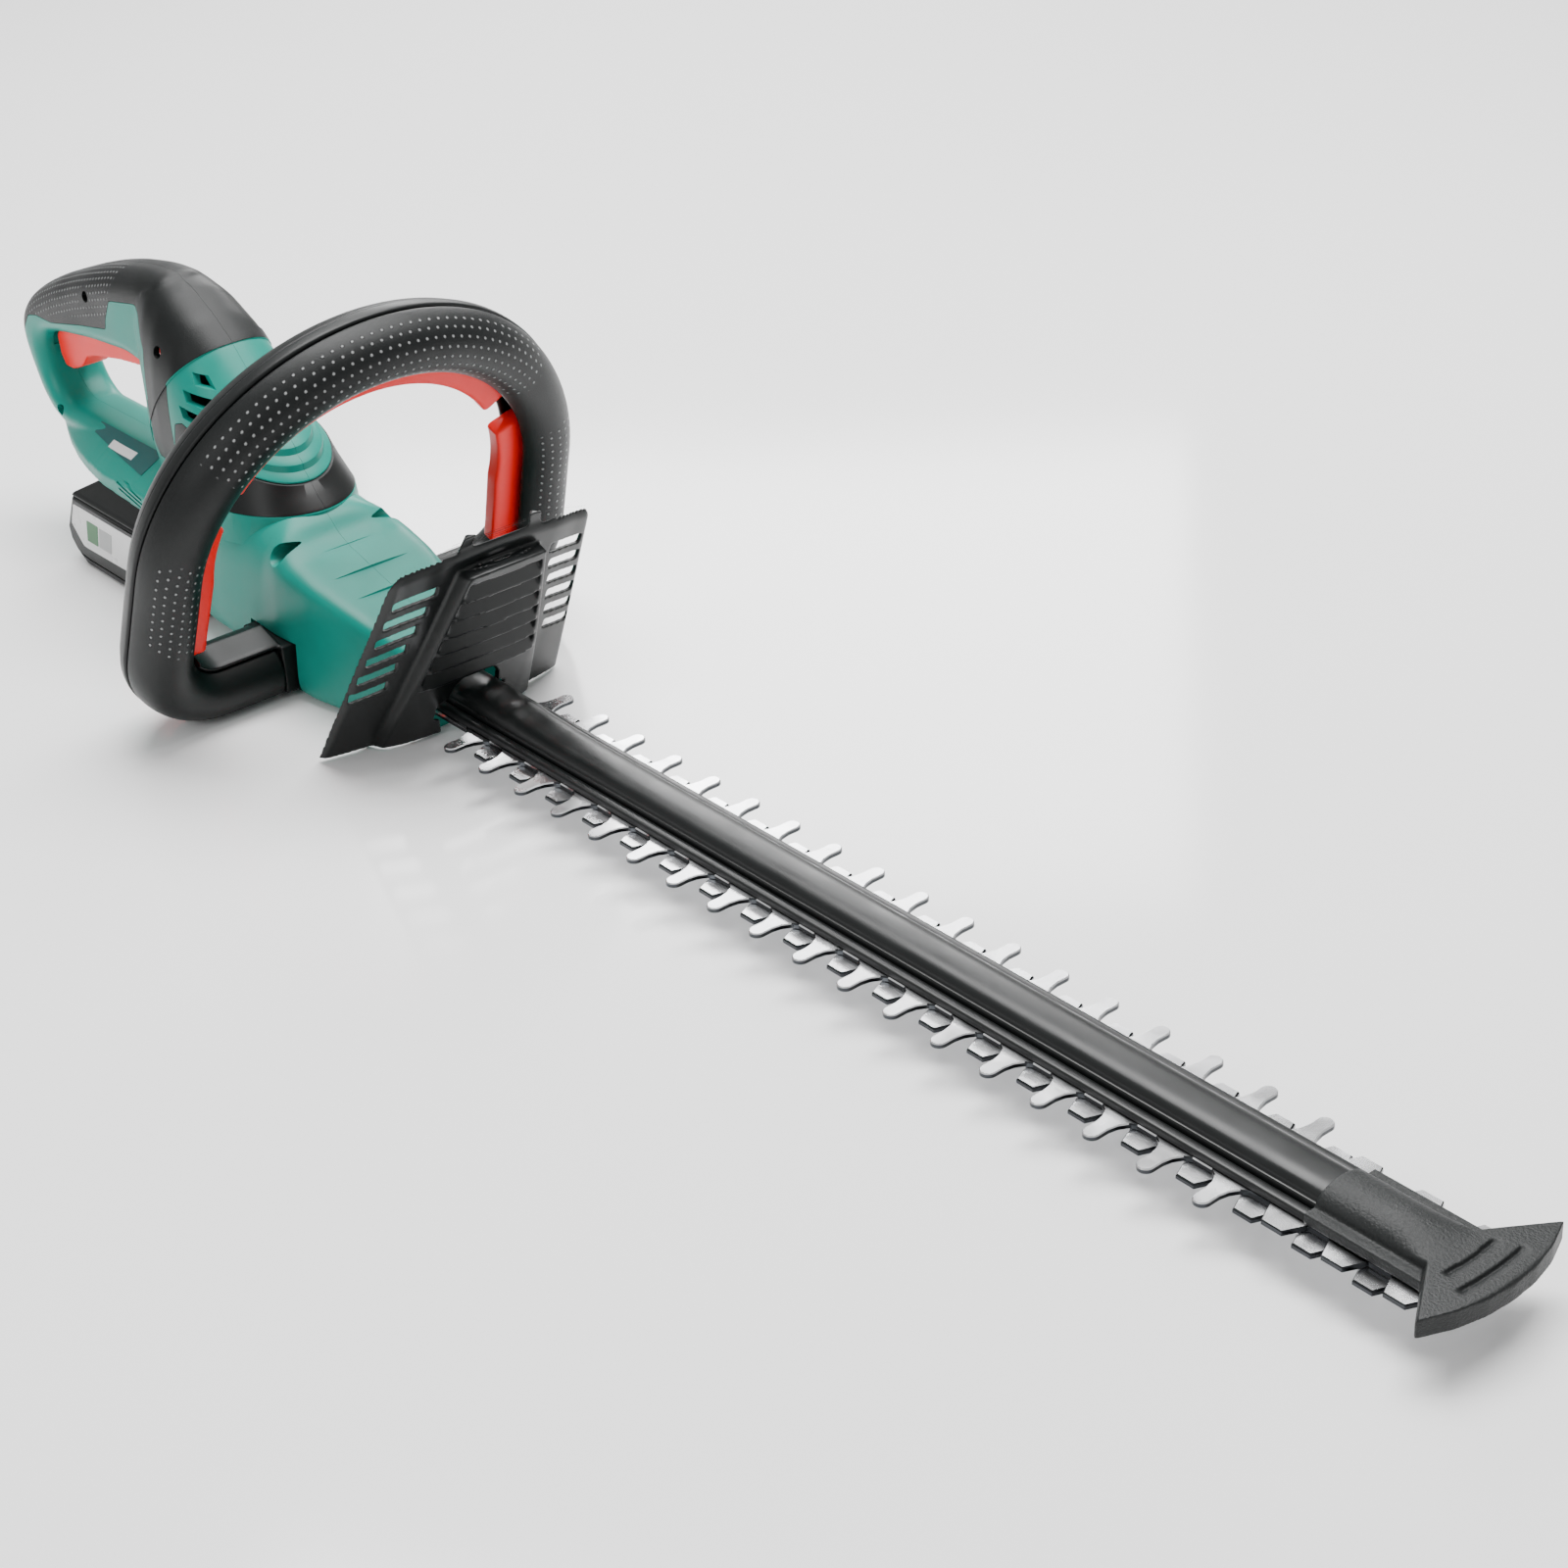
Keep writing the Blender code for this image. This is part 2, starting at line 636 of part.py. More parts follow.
def comb_outline():
    """One side's teeth from rear to front, then the other side's from front to rear."""
    side = [(-72.0, COMB_HALF - 4.0), (-10.0, COMB_HALF - 1.0)]
    half_root = 8.5
    half_tip = 4.5
    for i in range(LONG_TEETH + SHORT_TEETH):
        x = i * PITCH
        if i < LONG_TEETH:
            side += [(x - 7.5, COMB_HALF), (x - 3.4, TOOTH_REACH - 4.0)]
            side += [(x - 2.4, TOOTH_REACH - 0.9), (x, TOOTH_REACH), (x + 2.4, TOOTH_REACH - 0.9)]
            side += [(x + 3.4, TOOTH_REACH - 4.0), (x + 7.5, COMB_HALF)]
        else:
            side += [(x - half_root, COMB_HALF), (x - half_tip, CUTTER_REACH)]
            side += [(x + half_tip, CUTTER_REACH), (x + half_root, COMB_HALF)]
    side += [(531.0, COMB_HALF - 2.0)]
    return side + [(x, -y) for x, y in reversed(side)]


def cutter_outline():
    side = [(CUTTER_TAIL, 20.0), (-70.0, 20.0), (-60.0, 15.5)]
    for i in range(LONG_TEETH + SHORT_TEETH - 1):
        x = (i + 0.5) * PITCH
        side += [(x - 8.5, 15.5), (x - 4.2, CUTTER_REACH), (x + 4.2, CUTTER_REACH), (x + 8.5, 15.5)]
    side += [(519.0, 15.5)]
    return side + [(x, -y) for x, y in reversed(side)]


def make_blades():
    comb = add_object("fixed_blade", prism(comb_outline(), -COMB_THICK, 0.0, "Z"), MATS["steel"])
    bolt_room = [(-8.0, BOLT_R + GAP), (8.0, BOLT_R + GAP)]
    holes = [turned(bolt_room, (x, 0.0, 0.0), 12) for x in BOLT_X]
    combine(comb, *[("DIFFERENCE", hole) for hole in holes])
    bottom = CUTTER_TOP - CUTTER_THICK
    cutter = add_object("moving_blade", prism(cutter_outline(), bottom, CUTTER_TOP, "Z"), MATS["steel"])
    reach = THROW + BOLT_R + 1.0
    slot_half = BOLT_R + 0.5
    through = (-12.0, 4.0)
    slots = [box((x - reach, x + reach), (-slot_half, slot_half), through) for x in BOLT_X]
    length = 2 * THROW + ECCENTRIC_R + 1.0
    width = THROW + ECCENTRIC_R + 1.0
    slots.append(box((GEAR_X - length, GEAR_X + length), (-width, width), through))
    combine(cutter, *[("DIFFERENCE", slot) for slot in slots])
    for number, x in enumerate(BOLT_X, 1):
        head = CUTTER_TOP - CUTTER_THICK - GAP
        profile = [(head - 2.6, 3.4), (head - 2.2, 4.6), (head, 4.6), (head, BOLT_R), (6.0, BOLT_R)]
        centre = (x, 0.0, 0.0)
        add_object(f"blade_bolt_{number}", turned(profile, centre, 12), MATS["dark_steel"], centre)


def rail_ring(x, top, shoulder):
    """Half section of the rail: flange, groove, ridge."""
    half = [(RAIL_HALF, GAP), (RAIL_HALF, 3.0), (12.0, 3.4), (9.8, 2.6), (8.6, shoulder), (4.0, top)]
    return [(x, y, z) for y, z in half] + [(x, -y, z) for y, z in reversed(half)]


def make_rail():
    stations = ((RAIL_START, 15.0, 8.0), (-2.0, 14.5, 7.6), (16.0, 12.0, 7.2), (44.0, RAIL_TOP, 6.8),
                (RAIL_END, RAIL_TOP, 6.8))
    rail = add_object("blade_rail", loft([rail_ring(*station) for station in stations]), MATS["black"])
    blind_hole = [(-4.0, BOLT_R + GAP), (6.6, BOLT_R + GAP)]
    holes = [turned(blind_hole, (x, 0.0, 0.0), 12) for x in BOLT_X]
    combine(rail, *[("DIFFERENCE", hole) for hole in holes])


def make_tip_guard():
    """A sleeve over the rail's end that spreads into a fan-shaped bumper."""
    sleeve = prism([(-19.0, 0.6), (19.0, 0.6), (19.0, 4.6), (11.5, 5.4), (10.0, 9.2), (5.0, 11.2),
                    (-5.0, 11.2), (-10.0, 9.2), (-11.5, 5.4), (-19.0, 4.6)], 477.0, 514.0, "X")
    centre_x = 430.0
    front = arc((centre_x, 0.0), (FRONT_END - centre_x, FRONT_END - centre_x), 16.6, -16.6, 10)
    fan = prism([(511.0, 19.0)] + front + [(511.0, -19.0)], 0.6, 8.2, "Z")
    tip = add_object("tip_guard", sleeve, MATS["grain_black"])
    bore = prism([(-16.9, -2.0), (16.9, -2.0), (16.9, 3.4), (12.2, 3.8), (10.0, 3.4), (9.0, 7.3), (4.2, 9.5),
                  (-4.2, 9.5), (-9.0, 7.3), (-10.0, 3.4), (-12.2, 3.8), (-16.9, 3.4)], 470.0, 500.6, "X")
    combine(tip, ("UNION", fan), ("DIFFERENCE", bore))


# ---------------------------------------------------------------- drive

def gear_outline(teeth, thin):
    """Straight-sided teeth, thinned for backlash."""
    pitch_r = MODULE * teeth / 2
    step = 2 * math.pi / teeth
    outline = []
    for i in range(teeth):
        centre = i * step
        for angle, radius in ((-0.30, -1.15), (-0.155, 0.85), (0.155, 0.85), (0.30, -1.15)):
            t = centre + angle * step * thin
            r = pitch_r + radius * MODULE
            outline.append((r * math.cos(t), r * math.sin(t)))
    return outline


def make_drive():
    motor = (MOTOR_X, 0.0, 0.0)
    can = tube_ring(20.0, 22.0, 28.5, 82.0, motor, 28)
    add_object("motor_can", can, MATS["dark_steel"], motor)
    core = turned([(40.0, 17.0), (77.0, 17.0)], motor, 24)
    armature = add_object("armature", core, MATS["copper"], motor)
    for i in range(5):
        angle = 2 * math.pi * i / 5
        x = MOTOR_X + 15.5 * math.cos(angle)
        y = 15.5 * math.sin(angle)
        combine(armature, ("DIFFERENCE", box((x - 1.8, x + 1.8), (y - 1.8, y + 1.8), (36.0, 81.0))))
    combine(armature, ("DIFFERENCE", turned([(30.0, 2.8), (95.0, 2.8)], motor, 12)))
    add_object("motor_shaft", turned([(10.0, 2.5), (91.0, 2.5)], motor, 12), MATS["steel"], motor)
    add_object("front_bearing", tube_ring(2.8, 8.0, 22.0, 27.0, motor, 20), MATS["steel"], motor)
    add_object("rear_bearing", tube_ring(2.8, 7.0, 84.0, 89.0, motor, 20), MATS["steel"], motor)
    fan_ring = tube_ring(2.8, 9.0, 29.5, 38.0, motor, 20)
    fan = add_object("cooling_fan", fan_ring, MATS["black"], motor)
    blades = []
    for i in range(9):
        angle = 2 * math.pi * i / 9
        bm = box((7.0, 18.5), (-0.8, 0.8), (30.2, 37.2))
        bm.transform(Matrix.Rotation(angle, 4, "Z"))
        bm.transform(Matrix.Translation(Vector(motor)))
        blades.append(("UNION", bm))
    combine(fan, *blades)
    pinion = prism(gear_outline(PINION_TEETH, 0.8), 11.0, 21.0, "Z")
    pinion.transform(Matrix.Rotation(math.pi / PINION_TEETH, 4, "Z"))
    pinion.transform(Matrix.Translation(Vector(motor)))
    gear = add_object("motor_pinion", pinion, MATS["steel"], motor)
    combine(gear, ("DIFFERENCE", turned([(5.0, 2.8), (30.0, 2.8)], motor, 12)))

    axis = (GEAR_X, 0.0, 0.0)
    wheel = prism(gear_outline(GEAR_TEETH, 0.8), 12.0, 20.0, "Z")
    wheel.transform(Matrix.Translation(Vector(axis)))
    gear = add_object("drive_gear", wheel, MATS["steel"], axis)
    steps = [("DIFFERENCE", turned([(5.0, 4.3), (30.0, 4.3)], axis, 16))]
    for i in range(6):
        angle = math.radians(60.0 * i)
        place = (GEAR_X + 16.0 * math.cos(angle), 16.0 * math.sin(angle), 0.0)
        steps.append(("DIFFERENCE", turned([(5.0, 4.5), (30.0, 4.5)], place, 12)))
    combine(gear, *steps)
    add_object("gear_shaft", turned([(-1.4, 4.0), (24.0, 4.0)], axis, 16), MATS["steel"], axis)
    offset = (GEAR_X + THROW, 0.0, 0.0)
    crank = turned([(-4.9, ECCENTRIC_R), (-1.7, ECCENTRIC_R)], offset, 16)
    eccentric = add_object("eccentric", crank, MATS["steel"], axis)
    web = turned([(-1.8, 13.5), (-0.2, 13.5)], axis, 20)
    combine(eccentric, ("UNION", web), ("DIFFERENCE", turned([(-1.5, 4.3), (5.0, 4.3)], axis, 16)))
    add_object("gear_bush", tube_ring(4.3, 8.0, 0.4, 11.0, axis, 20), MATS["brass"], axis)
    plate = box((-200.0, -76.0), (-30.0, 30.0), (PLATE_Z, PLATE_Z + 3.0))
    plate_obj = add_object("gear_plate", plate, MATS["aluminium"])
    combine(plate_obj, ("DIFFERENCE", turned([(0.0, 8.3), (12.0, 8.3)], axis, 20)))


# ---------------------------------------------------------------- rear handle

TRIGGER_PIVOT = (-276.0, 0.0, 102.0)


def make_trigger():
    outline = [(-272.0, 99.2), (-283.0, 90.8), (-305.0, 88.0), (-330.0, 83.0), (-341.0, 79.5),
               (-348.0, 72.5), (-358.0, 68.6), (-366.0, 68.2), (-369.5, 74.0), (-370.5, 84.0),
               (-366.0, 88.5), (-350.0, 93.5), (-320.0, 99.0), (-290.0, 103.0), (-279.0, 105.5),
               (-272.5, 104.5)]
    bm = prism(outline, -7.0, 7.0)
    near = 1e-3
    bevel_where(bm, lambda edge: abs(edge.verts[0].co.y - edge.verts[1].co.y) < near, 1.6, 1)
    trigger = add_object("trigger", bm, MATS["red"], TRIGGER_PIVOT)
    combine(trigger, ("DIFFERENCE", turned([(-20.0, 1.9), (20.0, 1.9)], TRIGGER_PIVOT, 12, "Y")))
    add_object("trigger_pin", turned([(-8.2, 1.5), (8.2, 1.5)], TRIGGER_PIVOT, 12, "Y"), MATS["steel"],
               TRIGGER_PIVOT)
    switch = rounded_box((-304.0, -276.0), (-8.0, 8.0), (111.0, 125.0), 1.2, 1)
    add_object("trigger_switch", switch, MATS["black"])
    make_spring((-345.0, 0.0), 96.5, 106.5)


def make_spring(centre, low, high):
    """A coil spring: a round wire swept along a helix."""
    coils = 4
    steps = 10
    radius = 3.6
    wire = 0.6
    rings = []
    for i in range(coils * steps + 1):
        angle = 2 * math.pi * i / steps
        z = low + (high - low) * i / (coils * steps)
        ring = []
        for k in range(5):
            t = 2 * math.pi * k / 5
            r = radius + wire * math.cos(t)
            x = centre[0] + r * math.cos(angle)
            y = centre[1] + r * math.sin(angle)
            ring.append((x, y, z + wire * math.sin(t)))
        rings.append(ring)
    add_object("trigger_spring", loft(rings), MATS["steel"])


def make_electrics():
    add_object("control_board", box((-318.0, -270.0), (-20.0, 20.0), (41.0, 42.6)), MATS["board"])
    block = rounded_box((-264.0, -224.0), (-16.0, 16.0), (31.0, 37.4), 1.0, 1)
    add_object("terminal_block", block, MATS["black"])


# ---------------------------------------------------------------- battery

def make_battery():
    x0, x1 = PACK_X
    ground = GROUND
    base = [(x0 + 16.0, ground), (x1 - 4.0, ground), (x1, ground + 4.0), (x1, PACK_SPLIT_Z - GAP),
            (x0 + 3.0, PACK_SPLIT_Z - GAP), (x0, -2.0), (x0 + 6.0, -12.0)]
    bm = prism(base, -PACK_HALF, PACK_HALF)
    lower = add_object("battery_base", bm, MATS["black"])
    steps = []
    well = prism([(x0 + 18.0, ground + 3.0), (x1 - 3.0, ground + 3.0), (x1 - 3.0, 40.0), (x0 + 6.0, 40.0),
                  (x0 + 4.0, 0.0)], -PACK_HALF + 3.0, PACK_HALF - 3.0)
    steps.append(("DIFFERENCE", well))
    combine(lower, *steps)
    rings = []
    levels = ((PACK_SPLIT_Z, PACK_HALF, x0 + 3.0, x1), (23.0, PACK_HALF - 1.0, x0 + 5.0, x1),
              (PACK_TOP_Z, 24.0, x0 + 40.0, x1 - 2.0))
    for z, half, back, front in levels:
        rings.append([(back, -half, z), (front, -half, z), (front, half, z), (back, half, z)])
    upper = add_object("battery_top", loft(rings), MATS["black"])
    button_room = box((x0 - 10.0, x0 + 24.0), (-13.5, 13.5), (19.0, 40.0))
    shelf = box((x0 + 12.0, x1 - 6.0), (-30.0, 30.0), (10.0, 21.5))
    combine(upper, ("DIFFERENCE", button_room), ("DIFFERENCE", shelf))
    button = [(x0 + 6.0, 20.3), (x0 + 23.5, 20.3), (x0 + 23.5, 26.5), (x0 + 16.0, 26.5), (x0 + 7.5, 22.5)]
    add_object("battery_button", prism(button, -13.0, 13.0), MATS["grey"])
    for i in range(5):
        x = x0 + 22.5 + 19.2 * i
        cell = turned([(-33.0, 9.2), (33.0, 9.2)], (x, 0.0, 2.0), 16, "Y")
        add_object(f"cell_{i + 1}", cell, MATS["cell"], (x, 0.0, 2.0))


# ---------------------------------------------------------------- assembly

clear_scene()
TOOL = bpy.data.objects.new("tool", None)
TOOL.location = (-(REAR_END + FRONT_END) / 2 * MM, 0.0, -GROUND * MM)
bpy.context.scene.collection.objects.link(TOOL)
MATS = {
    "teal": material("teal_plastic", TEAL, 0.45),
    "black": material("black_plastic", BLACK, 0.5),
    "soft_black": material("soft_grip", BLACK, 0.6),
    "grain_black": material("bumper_plastic", BLACK, 0.75),
    "red": material("red_plastic", RED, 0.4),
    "steel": material("blade_steel", STEEL, 0.28, 1.0),
    "dark_steel": material("dark_steel", DARK_STEEL, 0.45, 1.0),
    "aluminium": material("cast_aluminium", (0.55, 0.55, 0.55), 0.5, 1.0),
    "copper": material("copper_winding", COPPER, 0.4, 1.0),
    "brass": material("bronze_bush", BRASS, 0.4, 1.0),
    "board": material("circuit_board", BOARD_GREEN, 0.5),
    "grey": material("grey_plastic", (0.25, 0.26, 0.27), 0.5),
    "cell": material("cell_wrap", (0.05, 0.2, 0.45), 0.4),
}
make_housing()
make_screws()
make_loop()
make_bars()
make_bar_switches()
make_inserts()
make_guard()
make_blades()
make_rail()
make_tip_guard()
make_drive()
make_trigger()
make_electrics()
make_battery()
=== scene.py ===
"""Looks of the cordless hedge trimmer: fine surfaces and finishes over the CAD frame.

Shapes are drawn in the tool's own millimetres: X runs forward along the blade from the first tooth,
Y to the left of the seam, and Z up from the comb's top face. world() takes them into the frame.
"""

import json
import math

import bmesh
import bpy
import numpy as np
from mathutils import Matrix, Vector

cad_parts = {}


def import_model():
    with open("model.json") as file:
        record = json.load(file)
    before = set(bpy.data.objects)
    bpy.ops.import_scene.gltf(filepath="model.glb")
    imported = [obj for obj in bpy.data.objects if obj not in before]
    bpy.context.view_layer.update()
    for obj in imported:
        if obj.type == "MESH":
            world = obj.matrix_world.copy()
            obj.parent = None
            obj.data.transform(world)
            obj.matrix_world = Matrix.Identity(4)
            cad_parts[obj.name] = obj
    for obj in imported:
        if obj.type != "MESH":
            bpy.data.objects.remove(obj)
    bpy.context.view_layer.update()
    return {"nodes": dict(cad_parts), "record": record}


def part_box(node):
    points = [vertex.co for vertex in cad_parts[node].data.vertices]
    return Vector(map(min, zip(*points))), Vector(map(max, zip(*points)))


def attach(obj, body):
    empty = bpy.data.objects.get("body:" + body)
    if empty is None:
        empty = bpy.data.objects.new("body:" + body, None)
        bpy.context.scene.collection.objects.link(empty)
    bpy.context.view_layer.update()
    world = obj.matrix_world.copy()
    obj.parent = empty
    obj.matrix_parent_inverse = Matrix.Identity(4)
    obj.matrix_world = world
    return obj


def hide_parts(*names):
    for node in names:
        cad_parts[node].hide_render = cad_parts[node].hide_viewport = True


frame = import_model()

MM = 0.001
GAP = 0.3
SEAM = 0.06

# The comb's rear end and top face place the tool's millimetres in the frame
COMB_REAR = -72.0
COMB_LOW, COMB_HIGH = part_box("fixed_blade")
ORIGIN = np.array([COMB_LOW[0] - COMB_REAR * MM, 0.0, COMB_HIGH[2]])


# ---------------------------------------------------------------- making pieces

def world(points):
    """Tool millimetres to frame metres: scale, then shift to the comb's origin."""
    return np.asarray(points, float) * MM + ORIGIN


def in_tool(point):
    """Frame metres to tool millimetres, the reverse of world()."""
    return (np.asarray(point, float) - ORIGIN) / MM


def grid_faces(rows, columns, wrap_columns=True):
    """Corner numbers of the quads of a grid, joined round where its columns wrap."""
    r = np.arange(rows - 1)
    c = np.arange(columns if wrap_columns else columns - 1)
    r, c = (a.ravel() for a in np.meshgrid(r, c, indexing="ij"))
    r1 = r + 1
    c1 = (c + 1) % columns
    return np.stack([r * columns + c, r * columns + c1, r1 * columns + c1, r1 * columns + c], axis=1)


def make_object(name, points, faces):
    """An object at the origin from points in tool millimetres and lists of corners, faces outward."""
    mesh = bpy.data.meshes.new(name)
    mesh.from_pydata(world(points).reshape(-1, 3).tolist(), [], faces)
    bm = bmesh.new()
    bm.from_mesh(mesh)
    bmesh.ops.recalc_face_normals(bm, faces=bm.faces)
    bm.to_mesh(mesh)
    bm.free()
    mesh.shade_smooth()
    obj = bpy.data.objects.new(name, mesh)
    bpy.context.scene.collection.objects.link(obj)
    return obj


def solid(name, rings):
    """A closed solid from rings of equal length: quads between rings and a flat cap at each end."""
    rings = np.asarray(rings, float)
    count, around = rings.shape[:2]
    faces = grid_faces(count, around).tolist()
    faces.append(list(range(around)))
    faces.append(list(range((count - 1) * around, count * around))[::-1])
    return make_object(name, rings, faces)


def slab(name, front, back):
    """A closed plate between two grids of points of the same shape, walled round their rims."""
    rows, columns = front.shape[:2]
    face = grid_faces(rows, columns, wrap_columns=False)
    number = np.arange(rows * columns).reshape(rows, columns)
    rim = np.concatenate([number[0, :], number[1:, -1], number[-1, -2::-1], number[-2:0:-1, 0]])
    after = np.roll(rim, -1)
    offset = rows * columns
    walls = np.stack([rim, after, after + offset, rim + offset], axis=1)
    faces = np.concatenate([face, face[:, ::-1] + offset, walls])
    points = np.concatenate([front.reshape(-1, 3), back.reshape(-1, 3)])
    return make_object(name, points, faces.tolist())


def prism(name, outline, low, high, along="Y"):
    """A flat outline carried along one axis; its two numbers are the other axes in X, Y, Z order."""
    outline = np.asarray(outline, float)
    order = {"X": (2, 0, 1), "Y": (0, 2, 1), "Z": (0, 1, 2)}[along]
    rings = [np.column_stack([outline, np.full(len(outline), level)])[:, order] for level in (low, high)]
    return solid(name, rings)


def side_prism(name, outline, sign, inner, outer):
    """A prism along Y between two distances from the seam, on the side that sign names."""
    return prism(name, outline, *sorted((sign * inner, sign * outer)))


def box(name, x_span, y_span, z_span):
    corners = [(x_span[0], z_span[0]), (x_span[1], z_span[0]), (x_span[1], z_span[1]), (x_span[0], z_span[1])]
    return prism(name, corners, *y_span)


def turned(name, profile, centre, along="Z", count=48):
    """Rings of (height, radius) about an axis through centre."""
    angle = np.linspace(0, 2 * np.pi, count, endpoint=False)
    profile = np.asarray(profile, float)
    a = profile[:, 1, None] * np.cos(angle)
    b = profile[:, 1, None] * np.sin(angle)
    h = np.broadcast_to(profile[:, 0, None], a.shape)
    axes = {"Z": (a, b, h), "Y": (a, h, b), "X": (h, a, b)}[along]
    return solid(name, np.stack(axes, axis=-1) + np.asarray(centre, float))


def bake(obj):
    """Replaces the object's mesh by what its modifiers make of it."""
    bpy.context.view_layer.update()
    graph = bpy.context.evaluated_depsgraph_get()
    mesh = bpy.data.meshes.new_from_object(obj.evaluated_get(graph))
    obj.modifiers.clear()
    obj.data = mesh
    mesh.shade_smooth()
    return obj


def combine(obj, operation, *others):
    """Boolean steps on closed pieces; the other pieces are used up."""
    for other in others:
        modifier = obj.modifiers.new(operation.title(), "BOOLEAN")
        modifier.operation = operation
        modifier.solver = "MANIFOLD"
        modifier.object = other
    bake(obj)
    for other in others:
        bpy.data.objects.remove(other)
    return obj


def duplicate(obj, name):
    other = obj.copy()
    other.data = obj.data.copy()
    other.name = name
    bpy.context.scene.collection.objects.link(other)
    return other


def moulded(obj, cell, passes):
    """Evens the mesh out into cells of one size and relaxes it, which rounds every edge as in a mould."""
    remesh = obj.modifiers.new("Even", "REMESH")
    remesh.mode = "VOXEL"
    remesh.voxel_size = cell * MM
    relax = obj.modifiers.new("Relax", "SMOOTH")
    relax.factor = 0.5
    relax.iterations = passes
    return bake(obj)


def mirrored(obj, name):
    """The same piece on the other side of the seam."""
    other = duplicate(obj, name)
    bm = bmesh.new()
    bm.from_mesh(other.data)
    bm.transform(Matrix.Scale(-1.0, 4, (0.0, 1.0, 0.0)))
    bmesh.ops.reverse_faces(bm, faces=bm.faces)
    bm.to_mesh(other.data)
    bm.free()
    return other


def finish_piece(obj, mat, slot, body, *nodes):
    """Gives a piece its material and body, and hides the CAD nodes it stands for; the record slot argument is
    not used.
    """
    obj.data.materials.clear()
    obj.data.materials.append(mat)
    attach(obj, body)
    if nodes:
        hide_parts(*nodes)
    return obj


# ---------------------------------------------------------------- curves

def arc(centre, radii, start, end, count):
    """Points on an ellipse between two angles in degrees."""
    t = np.radians(np.linspace(start, end, count))
    return np.column_stack([centre[0] + radii[0] * np.cos(t), centre[1] + radii[1] * np.sin(t)])


def resampled(points, count, closed=False):
    """Points evenly spaced by length along a line of points."""
    points = np.asarray(points, float)
    if closed:
        points = np.vstack([points, points[:1]])
    steps = np.linalg.norm(np.diff(points, axis=0), axis=1)
    length = np.concatenate([[0.0], np.cumsum(steps)])
    at = np.linspace(0.0, length[-1], count, endpoint=not closed)
    return np.column_stack([np.interp(at, length, points[:, i]) for i in range(points.shape[1])])


def rounded(points, count, radius):
    """A closed outline resampled evenly and averaged over a window, which rounds its corners."""
    even = resampled(points, count, closed=True)
    step = np.linalg.norm(even[1] - even[0])
    width = max(1, int(radius / step))
    kernel = np.hanning(2 * width + 3)
    kernel /= kernel.sum()
    half = len(kernel) // 2
    padded = np.vstack([even[-half:], even, even[:half]])
    return np.column_stack([np.convolve(padded[:, i], kernel, "valid") for i in range(2)])


def outward(outline):
    """Unit normals of a closed outline, pointing out of it."""
    ahead = np.roll(outline, -1, axis=0) - np.roll(outline, 1, axis=0)
    normal = np.column_stack([ahead[:, 1], -ahead[:, 0]])
    normal /= np.linalg.norm(normal, axis=1, keepdims=True)
    x, y = outline.T
    area = (x * np.roll(y, -1) - np.roll(x, -1) * y).sum()
    return normal if area > 0 else -normal


def pillow(name, outline, half, radius, grow=-1.0, steps=10):
    """An outline carried across the tool, with a quarter ellipse of insets at each side.

    grow is -1 to draw the outline in at the sides, and 1 to flare it out, as for a cutter.
    """
    normal = outward(outline)
    t = np.radians(np.linspace(90.0, 0.0, steps))
    inset = radius * (1.0 - np.cos(t))
    level = half - radius + radius * np.sin(t)
    inset = np.concatenate([inset, inset[::-1]])
    level = np.concatenate([-level, level[::-1]])
    rings = [outline + grow * d * normal for d in inset]
    return solid(name, [np.column_stack([ring[:, 0], np.full(len(ring), y), ring[:, 1]])
                        for ring, y in zip(rings, level)])


def sections(table, x, softness):
    """Station values at any x: straight between stations, then averaged over a distance."""
    table = np.asarray(table, float)
    table = table[np.argsort(table[:, 0])]
    reach = np.linspace(-1.0, 1.0, 15)
    weight = np.hanning(17)[1:-1]
    weight /= weight.sum()
    columns = []
    for column in table[:, 1:].T:
        near = np.interp(x[:, None] + softness * reach, table[:, 0], column)
        columns.append(near @ weight)
    return columns


# ---------------------------------------------------------------- moulded housing

NOSE_END = -43.5

# Stations of the gear housing: x, underside, top, half width, squareness, narrowing towards the top
GEAR_STATIONS = (
    (-214.0, -14.0, 66.0, 37.5, 3.4, 0.12),
    (-200.0, -16.6, 66.0, 38.5, 3.4, 0.12),
    (-178.0, -17.0, 65.0, 40.0, 3.2, 0.16),
    (-158.0, -17.0, 62.5, 41.2, 3.0, 0.22),
    (-141.0, -17.0, 60.0, 41.6, 3.0, 0.22),
    (-134.0, -17.0, 56.6, 41.4, 3.8, 0.18),
    (-127.0, -17.0, 50.0, 41.0, 5.6, 0.13),
    (-119.0, -17.0, 46.3, 40.2, 7.5, 0.11),
    (-104.0, -17.0, 42.3, 38.6, 9.0, 0.10),
    (-70.0, -16.6, 33.5, 32.0, 9.0, 0.08),
    (NOSE_END, -16.2, 28.0, 27.0, 9.0, 0.07),
)

# Stations of the motor barrel, which leans into the rear handle
BARREL_STATIONS = (
    (-263.5, 40.0, 143.0, 17.5, 3.6, 0.0),
    (-256.0, 36.0, 145.8, 21.0, 3.2, 0.0),
    (-246.0, 34.0, 145.4, 26.0, 2.8, 0.02),
    (-232.0, 33.0, 141.6, 29.5, 2.7, 0.05),
    (-214.5, 33.0, 132.2, 31.0, 2.7, 0.08),
    (-202.0, 20.0, 122.9, 31.5, 2.6, 0.10),
    (-180.0, 10.0, 101.6, 32.0, 2.4, 0.16),
    (-164.0, 5.0, 85.6, 32.0, 2.3, 0.22),
    (-156.0, 5.0, 78.0, 32.0, 2.2, 0.25),
    (-148.0, 5.0, 69.0, 31.0, 2.2, 0.26),
    (-141.0, 8.0, 60.0, 26.0, 2.2, 0.26),
)

